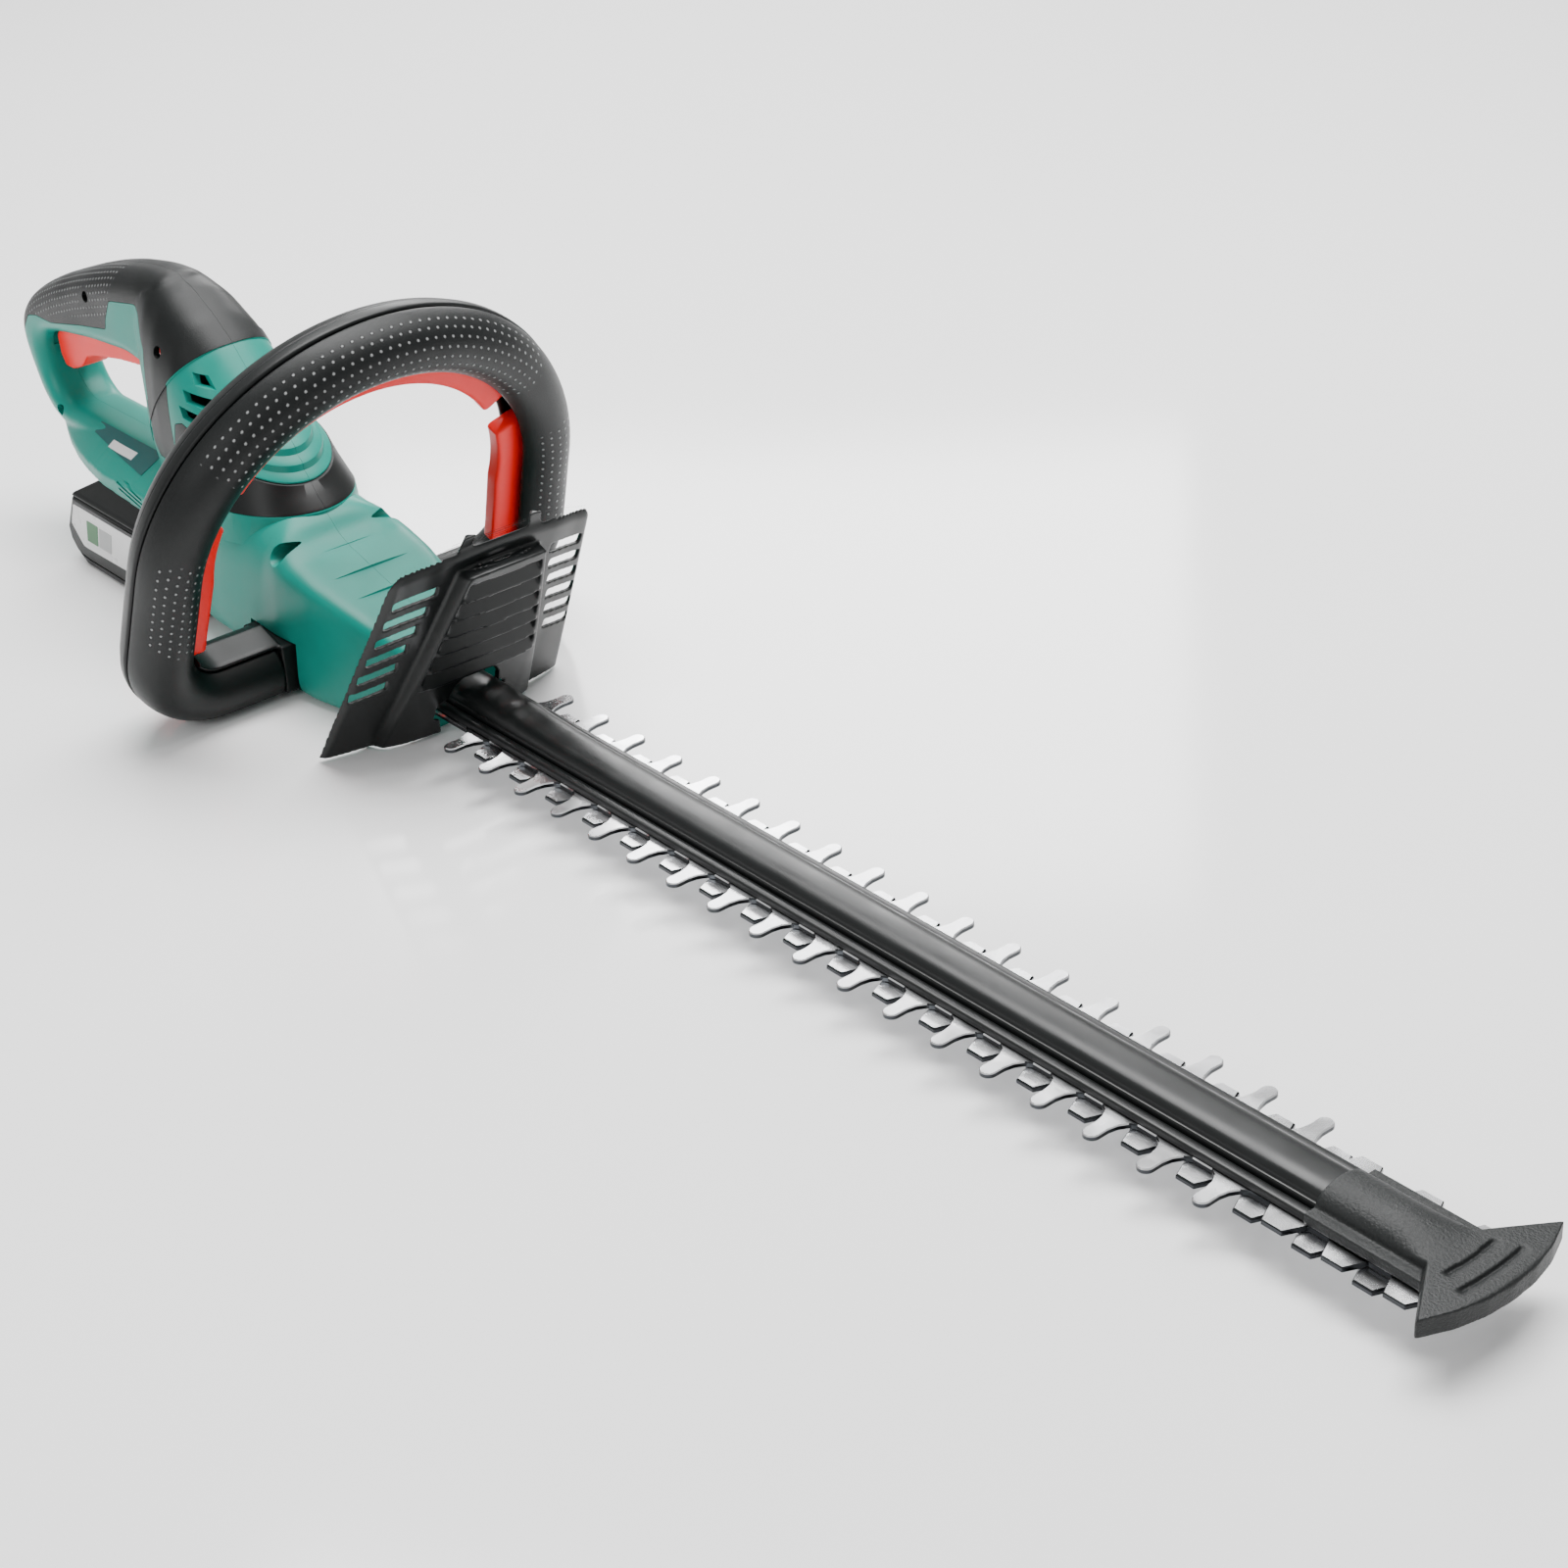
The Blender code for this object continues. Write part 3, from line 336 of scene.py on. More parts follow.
HANDLE_OUTLINE = (
    (-240.0, 146.4), (-262.0, 145.6), (-274.0, 143.6), (-290.0, 140.6), (-308.0, 135.8), (-326.0, 130.0),
    (-350.0, 121.3), (-370.0, 112.4), (-386.0, 103.4), (-395.5, 94.0), (-397.6, 82.0), (-393.5, 68.0),
    (-385.0, 50.0), (-375.0, 39.6), (-361.0, 34.3), (-345.0, 33.0), (-240.0, 33.0),
)
HAND_OPENING = (
    (-262.0, 52.0), (-262.0, 97.0), (-282.0, 99.5), (-320.0, 96.0), (-350.0, 91.5), (-368.0, 87.5),
    (-374.0, 82.0), (-371.0, 67.0), (-365.0, 57.0), (-356.0, 51.5),
)

# Foot over the battery: x, underside, shoulder, top, half width, half width of the flat top
FOOT_STATIONS = (
    (-371.0, 40.0, 42.5, 49.0, 11.0, 7.0),
    (-362.0, 36.0, 39.5, 50.0, 15.0, 9.0),
    (-350.0, 33.0, 37.0, 50.5, 19.5, 11.0),
    (-332.0, 32.0, 37.0, 51.0, 25.0, 12.0),
    (-318.0, 32.0, 38.0, 51.5, 28.5, 12.0),
    (-296.0, 32.0, 39.0, 51.5, 32.5, 12.0),
    (-250.0, 32.0, 41.0, 52.0, 35.0, 12.0),
    (-228.0, 32.0, 42.0, 52.0, 35.5, 13.0),
)

# Side outline of the black cover over the grip and the motor's upper end
COVER_OUTLINE = (
    (-410.0, 68.0), (-394.0, 74.0), (-386.5, 86.0), (-380.0, 94.5), (-371.0, 96.8), (-354.6, 96.9),
    (-323.0, 104.0), (-295.0, 109.2), (-293.4, 115.0), (-287.0, 125.7), (-262.0, 130.6), (-254.0, 128.6),
    (-243.0, 115.0), (-243.3, 100.0), (-245.0, 68.0), (-240.0, 62.5), (-221.5, 66.0), (-217.0, 74.0),
    (-219.0, 106.0), (-201.4, 122.6), (-180.0, 144.0), (-230.0, 180.0), (-410.0, 180.0),
)
COLLAR_OUTLINE = (
    (-110.0, 58.0), (-145.0, 68.9), (-165.0, 75.6), (-207.0, 89.5), (-213.5, 87.5), (-219.0, 66.5),
    (-178.0, 58.4), (-136.0, 58.9), (-110.0, 57.0),
)
# Vents: x and z of each one's rear end and its length, then how they lie and how near the seam they reach
VENTS = ((-204.5, 111.2, 36.0), (-207.5, 103.2, 36.0), (-209.5, 95.4, 34.0))
VENT_SLOPE = -9.0
VENT_WIDTH = 4.8
VENT_INNER = 17.0
HOLE_PLACES = ((-312.0, 121.5), (-228.0, 118.0), (-249.0, 73.0), (-362.0, 48.0))


def tapered_oval(x, low, high, half, power, taper, around=160):
    """A squared-off ellipse in each section, its width shrinking in proportion to height."""
    angle = np.linspace(0, 2 * np.pi, around, endpoint=False) + np.pi / around
    c = np.cos(angle)
    s = np.sin(angle)
    bend = 2.0 / power[:, None]
    z = np.sign(s) * np.abs(s) ** bend
    y = np.sign(c) * np.abs(c) ** bend
    y = y * half[:, None] * (1.0 - taper[:, None] * (z + 1.0) / 2)
    z = (low + high)[:, None] / 2 + z * (high - low)[:, None] / 2
    return np.stack([np.broadcast_to(x[:, None], y.shape), y, z], axis=-1)


def gear_body():
    x = np.linspace(-213.5, NOSE_END, 150)
    return solid("gear_body", tapered_oval(x, *sections(GEAR_STATIONS, x, 4.0)))


def barrel_body():
    x = np.linspace(-263.0, -141.0, 140)
    return solid("barrel_body", tapered_oval(x, *sections(BARREL_STATIONS, x, 4.0)))


# The dome under the barrel: its upright axis, how far its ledges rise to the rear, and its width to length
DOME_X = -181.0
DOME_FRONT = -147.0
DOME_RISE = 0.33
DOME_WIDTH = 0.78


def oval_tower(name, profile):
    """Ovals about the dome's axis, tilted up rearward: rows of level, length radius, width radius, rise."""
    t = np.linspace(0, 2 * np.pi, 144, endpoint=False)
    rings = []
    for level, length, width, rise in profile:
        x = DOME_X + length * np.cos(t)
        rings.append(np.column_stack([x, width * np.sin(t), level + rise * (DOME_FRONT - x)]))
    return solid(name, rings)


def dome():
    """Two ledges, each a short cone with a small step at its top."""
    profile = [(58.0, 34.0), (70.4, 34.0), (71.2, 33.2), (72.6, 30.2), (75.6, 29.8), (76.4, 28.8),
               (77.6, 25.4), (80.6, 24.8), (81.4, 23.6), (84.0, 17.0), (86.0, 10.0)]
    return oval_tower("dome", [(level, r, DOME_WIDTH * r, DOME_RISE) for level, r in profile])


def cap_band():
    """A raised band round the motor's upper end, between two planes square to the barrel."""
    x = np.linspace(-263.0, -160.0, 120)
    low, high, half, power, taper = sections(BARREL_STATIONS, x, 4.0)
    band = solid("cap_band", tapered_oval(x, low, high + 0.5, half + 0.4, power, taper))
    front, rear = -323.7, -333.5      # values of x - z
    slab = [(front + 60.0, 60.0), (front + 180.0, 180.0), (rear + 180.0, 180.0), (rear + 60.0, 60.0)]
    return combine(band, "INTERSECT", prism("slab", slab, -60.0, 60.0))


def collar_skirt():
    """A skirt that spreads from the dome's oval to a wider one on the gear housing."""
    profile = ((44.0, 46.5, 36.5, 0.0), (58.4, 45.6, 34.8, 0.0), (60.5, 44.2, 33.6, 0.03),
               (65.0, 39.4, 30.4, 0.18), (69.6, 35.0, 27.4, DOME_RISE))
    return oval_tower("skirt", profile)


def foot_body():
    x = np.linspace(-370.5, -229.0, 80)
    low, shoulder, top, half, flat = sections(FOOT_STATIONS, x, 6.0)
    corners = [(-half, low), (half, low), (half, shoulder), (flat, top), (-flat, top), (-half, shoulder)]
    rings = np.stack([np.column_stack([x, y, z]) for y, z in corners], axis=1)
    return solid("foot_body", rings)


def hollow_core():
    """The room inside the shells, from the same outlines drawn in by the wall's thickness."""
    x = np.linspace(-210.0, NOSE_END - 3.0, 60)
    low, high, half, power, taper = sections(GEAR_STATIONS, x, 4.0)
    core = solid("core", tapered_oval(x, low + 3.0, high - 3.0, half - 3.0, power, taper, 64))
    x = np.linspace(-260.0, -146.0, 60)
    low, high, half, power, taper = sections(BARREL_STATIONS, x, 4.0)
    barrel = solid("barrel_core", tapered_oval(x, low + 3.0, high - 3.0, half - 3.0, power, taper, 64))
    outline = rounded(HANDLE_OUTLINE, 160, 10.0)
    opening = rounded(HAND_OPENING, 100, 6.0)
    handle = pillow("handle_core", outline - 2.9 * outward(outline), 14.0, 9.0)
    combine(handle, "DIFFERENCE", pillow("opening_core", opening + 2.9 * outward(opening), 40.0, 2.0))
    x = np.linspace(-366.0, -231.0, 40)
    low, shoulder, top, half, flat = sections(FOOT_STATIONS, x, 6.0)
    corners = [(3 - half, low + 3), (half - 3, low + 3), (half - 3, shoulder),
               (flat, top - 3), (-flat, top - 3), (3 - half, shoulder)]
    foot = solid("foot_core", np.stack([np.column_stack([x, y, z]) for y, z in corners], axis=1))
    return combine(core, "UNION", barrel, handle, foot)


def slot_cutters(x, z, slope, length, width):
    """A slanted slot in each side, sharp at its rear upper end and clear of the crest between them."""
    angle = math.radians(slope)
    along = np.array([math.cos(angle), math.sin(angle)])
    across = np.array([-along[1], along[0]]) * width / 2
    start = np.array([x, z])
    end = start + along * length
    corners = [start - across + along * 4.0, end - across, end + across, start + across]
    return [side_prism("slot", corners, sign, VENT_INNER, 60.0) for sign in (-1, 1)]


def gill(x, z, half):
    """A raised sliver across the gear housing's top: a rounded roof that thins to a point at both ends."""
    y = np.linspace(-half, half, 80)
    size = np.sqrt(np.maximum(1.0 - (y / (half + 0.3)) ** 2, 0.0))
    section = np.array([(-1.7, -1.2), (-0.8, 0.3), (-0.1, 0.75), (0.5, 0.6), (1.2, -1.2), (0.0, -2.0)])
    sag = z - 0.35 * (np.abs(y) / half) ** 2
    edges = [np.column_stack([x + a * size * 1.25, y, sag + b * size * 1.15]) for a, b in section]
    rings = np.stack(edges, axis=1)
    return solid("gill", rings)


def make_shell():
    """The housing's whole outer skin: union of its bodies, relaxed into one moulding, then hollowed."""
    outline = rounded(HANDLE_OUTLINE, 420, 12.0)
    opening = rounded(HAND_OPENING, 300, 7.0)
    handle = pillow("handle", outline, 17.0, 13.0)
    combine(handle, "DIFFERENCE", pillow("rolled_opening", opening, 17.2, 8.0, grow=1.0, steps=12))
    shell = gear_body()
    combine(shell, "UNION", barrel_body(), handle)
    combine(shell, "UNION", foot_body())
    combine(shell, "DIFFERENCE", prism("opening", opening, -60.0, 60.0))
    moulded(shell, 0.9, 5)
    combine(shell, "UNION", collar_skirt(), dome(), cap_band())
    for x, half in ((-120.3, 23.0), (-101.5, 21.0), (-84.7, 20.0)):
        combine(shell, "UNION", gill(x, np.interp(x, (-119.0, -104.0, -70.0), (46.3, 42.3, 33.5)), half))
    cups = []
    for side in (-1, 1):
        ends = sorted((side * 15.0, side * 44.0))
        cup = turned("cup", [(ends[0], 6.4), (ends[1], 6.4)], (-131.0, 0.0, 47.5), "Y", 40)
        cups.append(combine(cup, "INTERSECT", duplicate(shell, "skin_copy")))
    combine(shell, "DIFFERENCE", hollow_core())
    return combine(shell, "UNION", *cups)


def shell_cutters():
    """Openings that go through the finished shell."""
    cutters = [box("nose", (NOSE_END - 8.0, NOSE_END + 14.0), (-18.0, 18.0), (-8.5, 14.5)),
               box("trigger_slot", (-374.0, -266.0), (-8.5, 8.5), (78.0, 104.0)),
               box("pack_window", (-266.0, -222.0), (-17.0, 17.0), (28.0, 38.0)),
               box("left_arm", (-152.0, -113.0), (34.0, 50.0), (-13.8, 11.0)),
               box("right_arm", (-152.0, -113.0), (-50.0, -34.0), (-13.8, 11.0))]
    for x, z, length in VENTS:
        cutters.extend(slot_cutters(x, z, VENT_SLOPE, length, VENT_WIDTH))
    for x, z in HOLE_PLACES:
        cutters.append(turned("hole", [(-60.0, 2.9), (60.0, 2.9)], (x, 0.0, z), "Y", 32))
    for side in (-1, 1):
        ends = sorted((side * 17.0, side * 60.0))
        cutters.append(turned("recess", [(ends[0], 4.5), (ends[1], 4.5)], (-131.0, 0.0, 47.5), "Y", 40))
        for i in range(3):
            x = np.array([-279.0 + 2.0 * i, -250.0 + 2.0 * i])
            z = np.array([42.2, 38.8]) - 2.6 * i
            slit = [(x[0], z[0] - 0.55), (x[1], z[1] - 0.55), (x[1], z[1] + 0.55), (x[0], z[0] + 0.55)]
            cutters.append(side_prism("slit", slit, side, 31.6, 60.0))
    return cutters


def grip_surface(obj):
    """Stores where each point lies on the rear grip: millimetres along the bar and round it from the seam.

    The distance round is the grip's mean radius times the angle about the bar's centre line. The mask
    is 1 where the studs go: between two ends, below the seam and above the smooth lower band.
    """
    points = np.empty(3 * len(obj.data.vertices), np.float32)
    obj.data.vertices.foreach_get("co", points)
    x, y, z = in_tool(points.reshape(-1, 3)).T
    top = np.interp(x, (-397.0, -386.0, -370.0, -350.0, -326.0, -290.0, -262.0),
                    (82.0, 103.0, 112.4, 121.3, 130.0, 140.6, 145.6))
    centre = top - 15.0
    angle = np.arctan2(np.abs(y), z - centre)
    slope = np.hypot(1.0, 0.33)
    along = x * slope
    around = 16.0 * angle
    lower = np.interp(x, (-397.0, -377.0, -354.0, -311.0, -294.0), (92.0, 96.0, 101.5, 111.0, 116.0))
    mask = (np.abs(y) > 2.5) & (x > -392.0) & (x < -283.0 - 0.35 * (140.0 - z)) & (z > lower)
    mask &= np.hypot(x + 313.0, z - 121.5) > 5.5
    place = obj.data.attributes.new("grip_mm", "FLOAT_VECTOR", "POINT")
    place.data.foreach_set("vector", np.column_stack([along, around, 0 * x]).astype(np.float32).ravel())
    studs = obj.data.attributes.new("dimples", "FLOAT", "POINT")
    studs.data.foreach_set("value", mask.astype(np.float32))


def make_housing(mats):
    shell = make_shell()
    combine(shell, "DIFFERENCE", *shell_cutters())
    cover = rounded(COVER_OUTLINE, 900, 2.0)
    collar = rounded(COLLAR_OUTLINE, 600, 1.5)
    plans = (("housing", "teal", "teal_plastic", (("DIFFERENCE", cover + GAP / 2 * outward(cover)),
                                                  ("DIFFERENCE", collar + GAP / 2 * outward(collar)))),
             ("grip_cover", "grip", "black_plastic", (("INTERSECT", cover - GAP / 2 * outward(cover)),)),
             ("collar", "black", "black_plastic", (("INTERSECT", collar - GAP / 2 * outward(collar)),)))
    for name, finish, slot, steps in plans:
        left = duplicate(shell, "left_" + name + "_shell")
        combine(left, "INTERSECT", box("half", (-500.0, 60.0), (SEAM, 90.0), (-60.0, 220.0)))
        for operation, outline in steps:
            combine(left, operation, prism("edge", outline, -95.0, 95.0))
        left.data.set_sharp_from_angle(angle=math.radians(32.0))
        if finish == "grip":
            grip_surface(left)
        right = mirrored(left, "right_" + name + "_shell")
        finish_piece(left, mats[finish], slot, "body", "left_" + name)
        finish_piece(right, mats[finish], slot, "body", "right_" + name)
    bpy.data.objects.remove(shell)


# ---------------------------------------------------------------- front loop handle

# The loop's plane leans forward: LEAN is forward travel for each unit of height
LEAN = 0.35
LOOP_FOOT_X = -131.8
LOOP_SECTION = (15.0, 18.8)
LOOP_CENTRE = 68.0
LOOP_ARCH = (99.4, 95.9)
LEG_FOOT = (102.0, 28.0)
ARM_LEVEL = -1.2
ARM_CORNER = 29.0
ARM_END = 44.8
CORNER_CENTRE = (ARM_CORNER - LEG_FOOT[0], ARM_LEVEL + ARM_CORNER)


def on_loop(y, s, depth):
    """Points of the loop's leaning plane: y across, s up the plane, depth in front of it."""
    unit = 1 / math.hypot(1.0, LEAN)
    x = LOOP_FOOT_X + (LEAN * s + depth) * unit
    z = (s - LEAN * depth) * unit
    return np.stack([x, y + 0 * depth, z], axis=-1)


def loop_line(count):
    """The loop's centre line, evenly spaced: arm, quarter circle, leg, half ellipse and back."""
    corner = arc(CORNER_CENTRE, (ARM_CORNER, ARM_CORNER), 270.0, 180.0, 40)
    right = np.vstack([[(-ARM_END, ARM_LEVEL)], corner])
    arch = arc((0.0, LOOP_CENTRE), LOOP_ARCH, 176.0, 4.0, 240)
    left = right[::-1] * (-1.0, 1.0)
    line = resampled(np.vstack([right, arch, left]), 4 * count)
    window = np.hanning(61)[1:-1]
    window /= window.sum()
    half = len(window) // 2
    padded = np.vstack([2 * line[0] - line[half:0:-1], line, 2 * line[-1] - line[-2:-half - 2:-1]])
    smooth = np.column_stack([np.convolve(padded[:, i], window, "valid") for i in range(2)])
    return resampled(smooth, count)


def inward(line):
    """Unit normals of the loop's line, pointing to the inside of the loop."""
    ahead = np.gradient(line, axis=0)
    ahead /= np.linalg.norm(ahead, axis=1, keepdims=True)
    return np.column_stack([ahead[:, 1], -ahead[:, 0]])


def carried(section, line):
    """A section of (inward, depth) pairs carried along a line of the loop's plane."""
    normal = inward(line)
    n, depth = section[None, :, 0], section[None, :, 1]
    return on_loop(line[:, :1] + normal[:, :1] * n, line[:, 1:] + normal[:, 1:] * n, depth + 0 * line[:, :1])


def oval_shell(start, end, step, wall=3.0, count=72):
    """A strip of the handle's oval between two angles; step(angle) lifts its skin a little."""
    a, b = LOOP_SECTION
    t = np.radians(np.linspace(start, end, count))
    lift = step(np.degrees(t))
    lip = np.minimum(1.0, np.minimum(np.degrees(t) - start, end - np.degrees(t)) / 5.0)
    lift = lift - 0.9 * (1.0 - np.sqrt(1.0 - (1.0 - lip) ** 2))
    outer = np.column_stack([(a + lift) * np.cos(t), (b + lift) * np.sin(t)])
    inner_t = np.radians(np.linspace(end, start, 24))
    inner = np.column_stack([(a - wall) * np.cos(inner_t), (b - wall) * np.sin(inner_t)])
    return np.vstack([outer, inner])


def sweep_uv(obj, line, section):
    """A UV map in millimetres: length along the line and length round the section."""
    along = np.concatenate([[0.0], np.cumsum(np.linalg.norm(np.diff(line, axis=0), axis=1))])
    around = np.concatenate([[0.0], np.cumsum(np.linalg.norm(np.diff(section, axis=0), axis=1))])
    u, v = np.meshgrid(along, around, indexing="ij")
    corner_vertex = np.empty(len(obj.data.loops), np.int32)
    obj.data.loops.foreach_get("vertex_index", corner_vertex)
    layer = obj.data.uv_layers.new(name="surface_mm")
    uv = np.stack([u.ravel(), v.ravel()], axis=1)[corner_vertex]
    layer.data.foreach_set("uv", uv.ravel().astype(np.float32))


def patch_mask(line, section, patches):
    """Dimple mask per vertex: 1 inside a patch of (along low, high, around low, high), fading at its ends."""
    along = np.concatenate([[0.0], np.cumsum(np.linalg.norm(np.diff(line, axis=0), axis=1))])
    around = np.concatenate([[0.0], np.cumsum(np.linalg.norm(np.diff(section, axis=0), axis=1))])
    u, v = np.meshgrid(along, around, indexing="ij")
    mask = np.zeros_like(u)
    for low_u, high_u, low_v, high_v, slant in patches:
        shift = slant * (v - low_v)
        inside_u = np.clip(np.minimum(u - low_u - shift, high_u - shift - u) / 1.0 + 0.5, 0, 1)
        inside_v = np.clip(np.minimum(v - low_v, high_v - v) / 1.0 + 0.5, 0, 1)
        mask = np.maximum(mask, inside_u * inside_v)
    return mask.ravel()


# Studded patches: start and end as parts of the loop's length, two millimetre limits round it, and a slant
STUD_PATCHES = ((0.155, 0.262, 8.0, 34.0, 0.25), (0.335, 0.665, 6.0, 38.0, 0.0),
                (0.738, 0.845, 8.0, 34.0, -0.25))


def make_loop(mats):
    line = loop_line(520)
    total = np.linalg.norm(np.diff(line, axis=0), axis=1).sum()
    section = oval_shell(26.0, 181.0, lambda angle: 0.0 * angle)
    grip = solid("front_grip_skin", carried(section, line))
    sweep_uv(grip, line, section)
    patches = [(total * start, total * end, *rest) for start, end, *rest in STUD_PATCHES]
    mask = patch_mask(line, section, patches)
    attribute = grip.data.attributes.new("dimples", "FLOAT", "POINT")
    attribute.data.foreach_set("value", mask.astype(np.float32))
    finish_piece(grip, mats["soft_grip"], "soft_grip", "body", "front_grip")

    def band(angle):
        """A raised band beside the split, with a fine groove behind it."""
        groove = np.exp(-((angle - 203.0) / 1.1) ** 2)
        return 0.5 * (angle < 203.0) - 0.9 * groove
    section = oval_shell(183.0, 340.0, band, count=110)
    back = solid("front_grip_rear_shell", carried(section, line))
    finish_piece(back, mats["black"], "black_plastic", "body", "front_grip_back")


def bar(name, line):
    """A switch bar: a squared oval carried along its line, drawn in to a round nose at both ends."""
    along = np.concatenate([[0.0], np.cumsum(np.linalg.norm(np.diff(line, axis=0), axis=1))])
    nose = 3.0
    near = np.clip(np.minimum(along, along[-1] - along) / nose, 0.0, 1.0)
    scale = np.sqrt(np.maximum(1.0 - (1.0 - near) ** 2, 0.02))
    t = np.radians(np.linspace(0, 360, 64, endpoint=False))
    c, s = np.cos(t), np.sin(t)
    n = np.sign(c) * np.abs(c) ** 0.32
    d = np.sign(s) * np.abs(s) ** 0.32
    normal = inward(line)
    n = 15.75 + 7.75 * n[None, :] * scale[:, None]
    d = 4.3 * d[None, :] * scale[:, None]
    rings = on_loop(line[:, :1] + normal[:, :1] * n, line[:, 1:] + normal[:, 1:] * n, d)
    return solid(name, rings)


def make_bars(mats):
    top_line = resampled(arc((0.0, LOOP_CENTRE), LOOP_ARCH, 148.0, 32.0, 200), 200)
    top = bar("top_bar_skin", top_line)
    finish_piece(top, mats["red"], "red_plastic", "top_bar", "top_switch_bar")
    arch = arc((0.0, LOOP_CENTRE), LOOP_ARCH, 184.0, 160.0, 60)
    side_line = np.vstack([[(-LEG_FOOT[0], 22.0), (-101.3, 34.0)], arch[1:]])
    right = bar("right_bar_skin", resampled(side_line, 110))
    left = mirrored(right, "left_bar_skin")
    finish_piece(right, mats["red"], "red_plastic", "right_bar", "right_switch_bar")
    finish_piece(left, mats["red"], "red_plastic", "left_bar", "left_switch_bar")


# ---------------------------------------------------------------- hand guard

GUARD_LEAN = 0.54
GUARD_X = 8.7
GUARD_TOP = 100.3
BLIND_COUNT = 6
BLIND_PITCH = 9.7
BLIND_LOW = 17.6
WING_SLOTS = 6
SLOT_TOP = 72.3
SLOT_STEP = 10.3


def smooth_step(t):
    t = np.clip(t, 0.0, 1.0)
    return t * t * (3.0 - 2.0 * t)


def panel_half(z):
    """Half width of the raised middle panel, wider at the foot."""
    return 22.0 + (80.0 - z) * 0.21


def guard_half(z):
    return 52.2 + (86.6 - z) * 0.134


def guard_base(y, z):
    """The guard without its louvres: a leaning plate with swept wings and a bulging middle panel."""
    side = np.abs(y)
    plane = GUARD_X - GUARD_LEAN * (GUARD_TOP - z)
    wing = 5.0 + 1.6 * smooth_step((44.0 - side) / 16.0) - 0.004 * np.maximum(0.0, side - 28.0) ** 2
    panel = smooth_step((panel_half(z) - side) / 2.4) * smooth_step((83.0 - 0.0022 * side ** 2 - z) / 2.6)
    bulge = 9.4 - 4.2 * (side / 40.0) ** 2
    return plane + wing + panel * bulge


def blinds(y, z, inset, fade):
    """Sawtooth of the slanted blinds in the middle panel: foremost at each one's lower edge."""
    height = (z - BLIND_LOW) / BLIND_PITCH
    fraction = height - np.floor(height)
    inside = smooth_step((panel_half(z) - inset - np.abs(y)) / fade) * ((height > 0) & (height < BLIND_COUNT))
    return inside * (1.5 - 6.0 * fraction)


def guard_face(y, z):
    side = np.abs(y)
    rim = -2.8 * smooth_step((z - 86.0 + 0.0022 * side ** 2) / 8.0) ** 2
    edge = -2.6 * smooth_step((side - guard_half(z) + 5.0) / 5.0) ** 2
    return guard_base(y, z) + blinds(y, z, 4.2, 0.9) + rim + edge


def guard_plate():
    """The guard as a closed plate: its face and its back on one grid across and up."""
    across = np.linspace(-1.0, 1.0, 281)
    up = np.linspace(0.0, 1.0, 261)
    v, u = np.meshgrid(up, across, indexing="ij")
    crest = 99.8 - 10.6 * np.abs(u) ** 2.4
    z = -15.2 + (crest + 15.2) * v
    corner = 1.0 - 0.07 * smooth_step((v - 0.86) / 0.14) ** 2
    y = u * guard_half(z) * corner
    front = np.stack([guard_face(y, z), y, z], axis=-1)
    wall = 2.6 + 3.6 * np.exp(-((panel_half(z) - np.abs(y) - 1.4) / 2.4) ** 2)
    back = np.stack([guard_base(y, z) + blinds(y, z, 3.0, 0.9) - wall, y, z], axis=-1)
    return slab("hand_guard_skin", front, back)


def slanted_box(name, y_span, z_span, slant=0.0):
    """A window through the guard whose top and bottom rise by slant for each unit outwards."""
    sign = 1.0 if y_span[0] + y_span[1] > 0 else -1.0
    low, high = sorted(abs(y) for y in y_span)
    rise = slant * (high - low)
    corners = [(sign * low, z_span[0]), (sign * high, z_span[0] + rise), (sign * high, z_span[1] + rise),
               (sign * low, z_span[1])]
    return prism(name, corners, -95.0, 60.0, "X")


def make_guard(mats):
    guard = guard_plate()
    edge = [(72.0, -15.6), (66.0, 20.0), (55.4, 75.0), (52.4, 88.0), (44.0, 92.8), (30.0, 96.6), (15.0, 98.8),
            (0.0, 99.5)]
    plan = rounded(np.array(edge + [(-y, z) for y, z in edge[-2::-1]]), 400, 9.0)
    combine(guard, "INTERSECT", prism("plan", plan, -90.0, 60.0, "X"))
    side = [(12.0, -40.0), (12.0, -15.0), (14.5, -6.6), (18.0, -5.6), (18.0, 3.9), (12.8, 6.2), (11.8, 12.5),
            (8.6, 16.4), (4.0, 17.8)]
    notch = np.array(side + [(-y, z) for y, z in reversed(side)])
    combine(guard, "DIFFERENCE", prism("notch", notch, -82.0, 40.0, "X"))
    combine(guard, "DIFFERENCE", box("nose_room", (-95.0, NOSE_END + 0.4), (-28.2, 28.2), (-44.0, 29.0)))
    cutters = []
    for i in range(WING_SLOTS):
        z = SLOT_TOP - SLOT_STEP * i
        inner = 29.3 + (SLOT_TOP - z) * 0.239
        outer = 49.0 + (SLOT_TOP - z) * 0.188
        for sign in (-1, 1):
            cutters.append(slanted_box("wing_slot", (sign * inner, sign * outer), (z - 0.9, z + 4.6), -0.16))
    for i in range(1, BLIND_COUNT):
        z = BLIND_LOW + BLIND_PITCH * i
        half = panel_half(z) - 4.6
        cutters.append(box("blind_gap", (-90.0, 60.0), (-half, half), (z - 1.7, z - 0.1)))
    combine(guard, "DIFFERENCE", *cutters)
    moulded(guard, 0.62, 1)
    finish_piece(guard, mats["guard_black"], "black_plastic", "body", "hand_guard")


# ---------------------------------------------------------------- blade, rail and tip guard

PITCH = 26.0
LONG_TEETH = 18
SHORT_TEETH = 3
TOOTH_REACH = 34.2
COMB_HALF = 17.0
CUTTER_REACH = 25.5
CUTTER_TAIL = -181.0
BOLT_X = (52.0, 182.0, 312.0, 442.0)


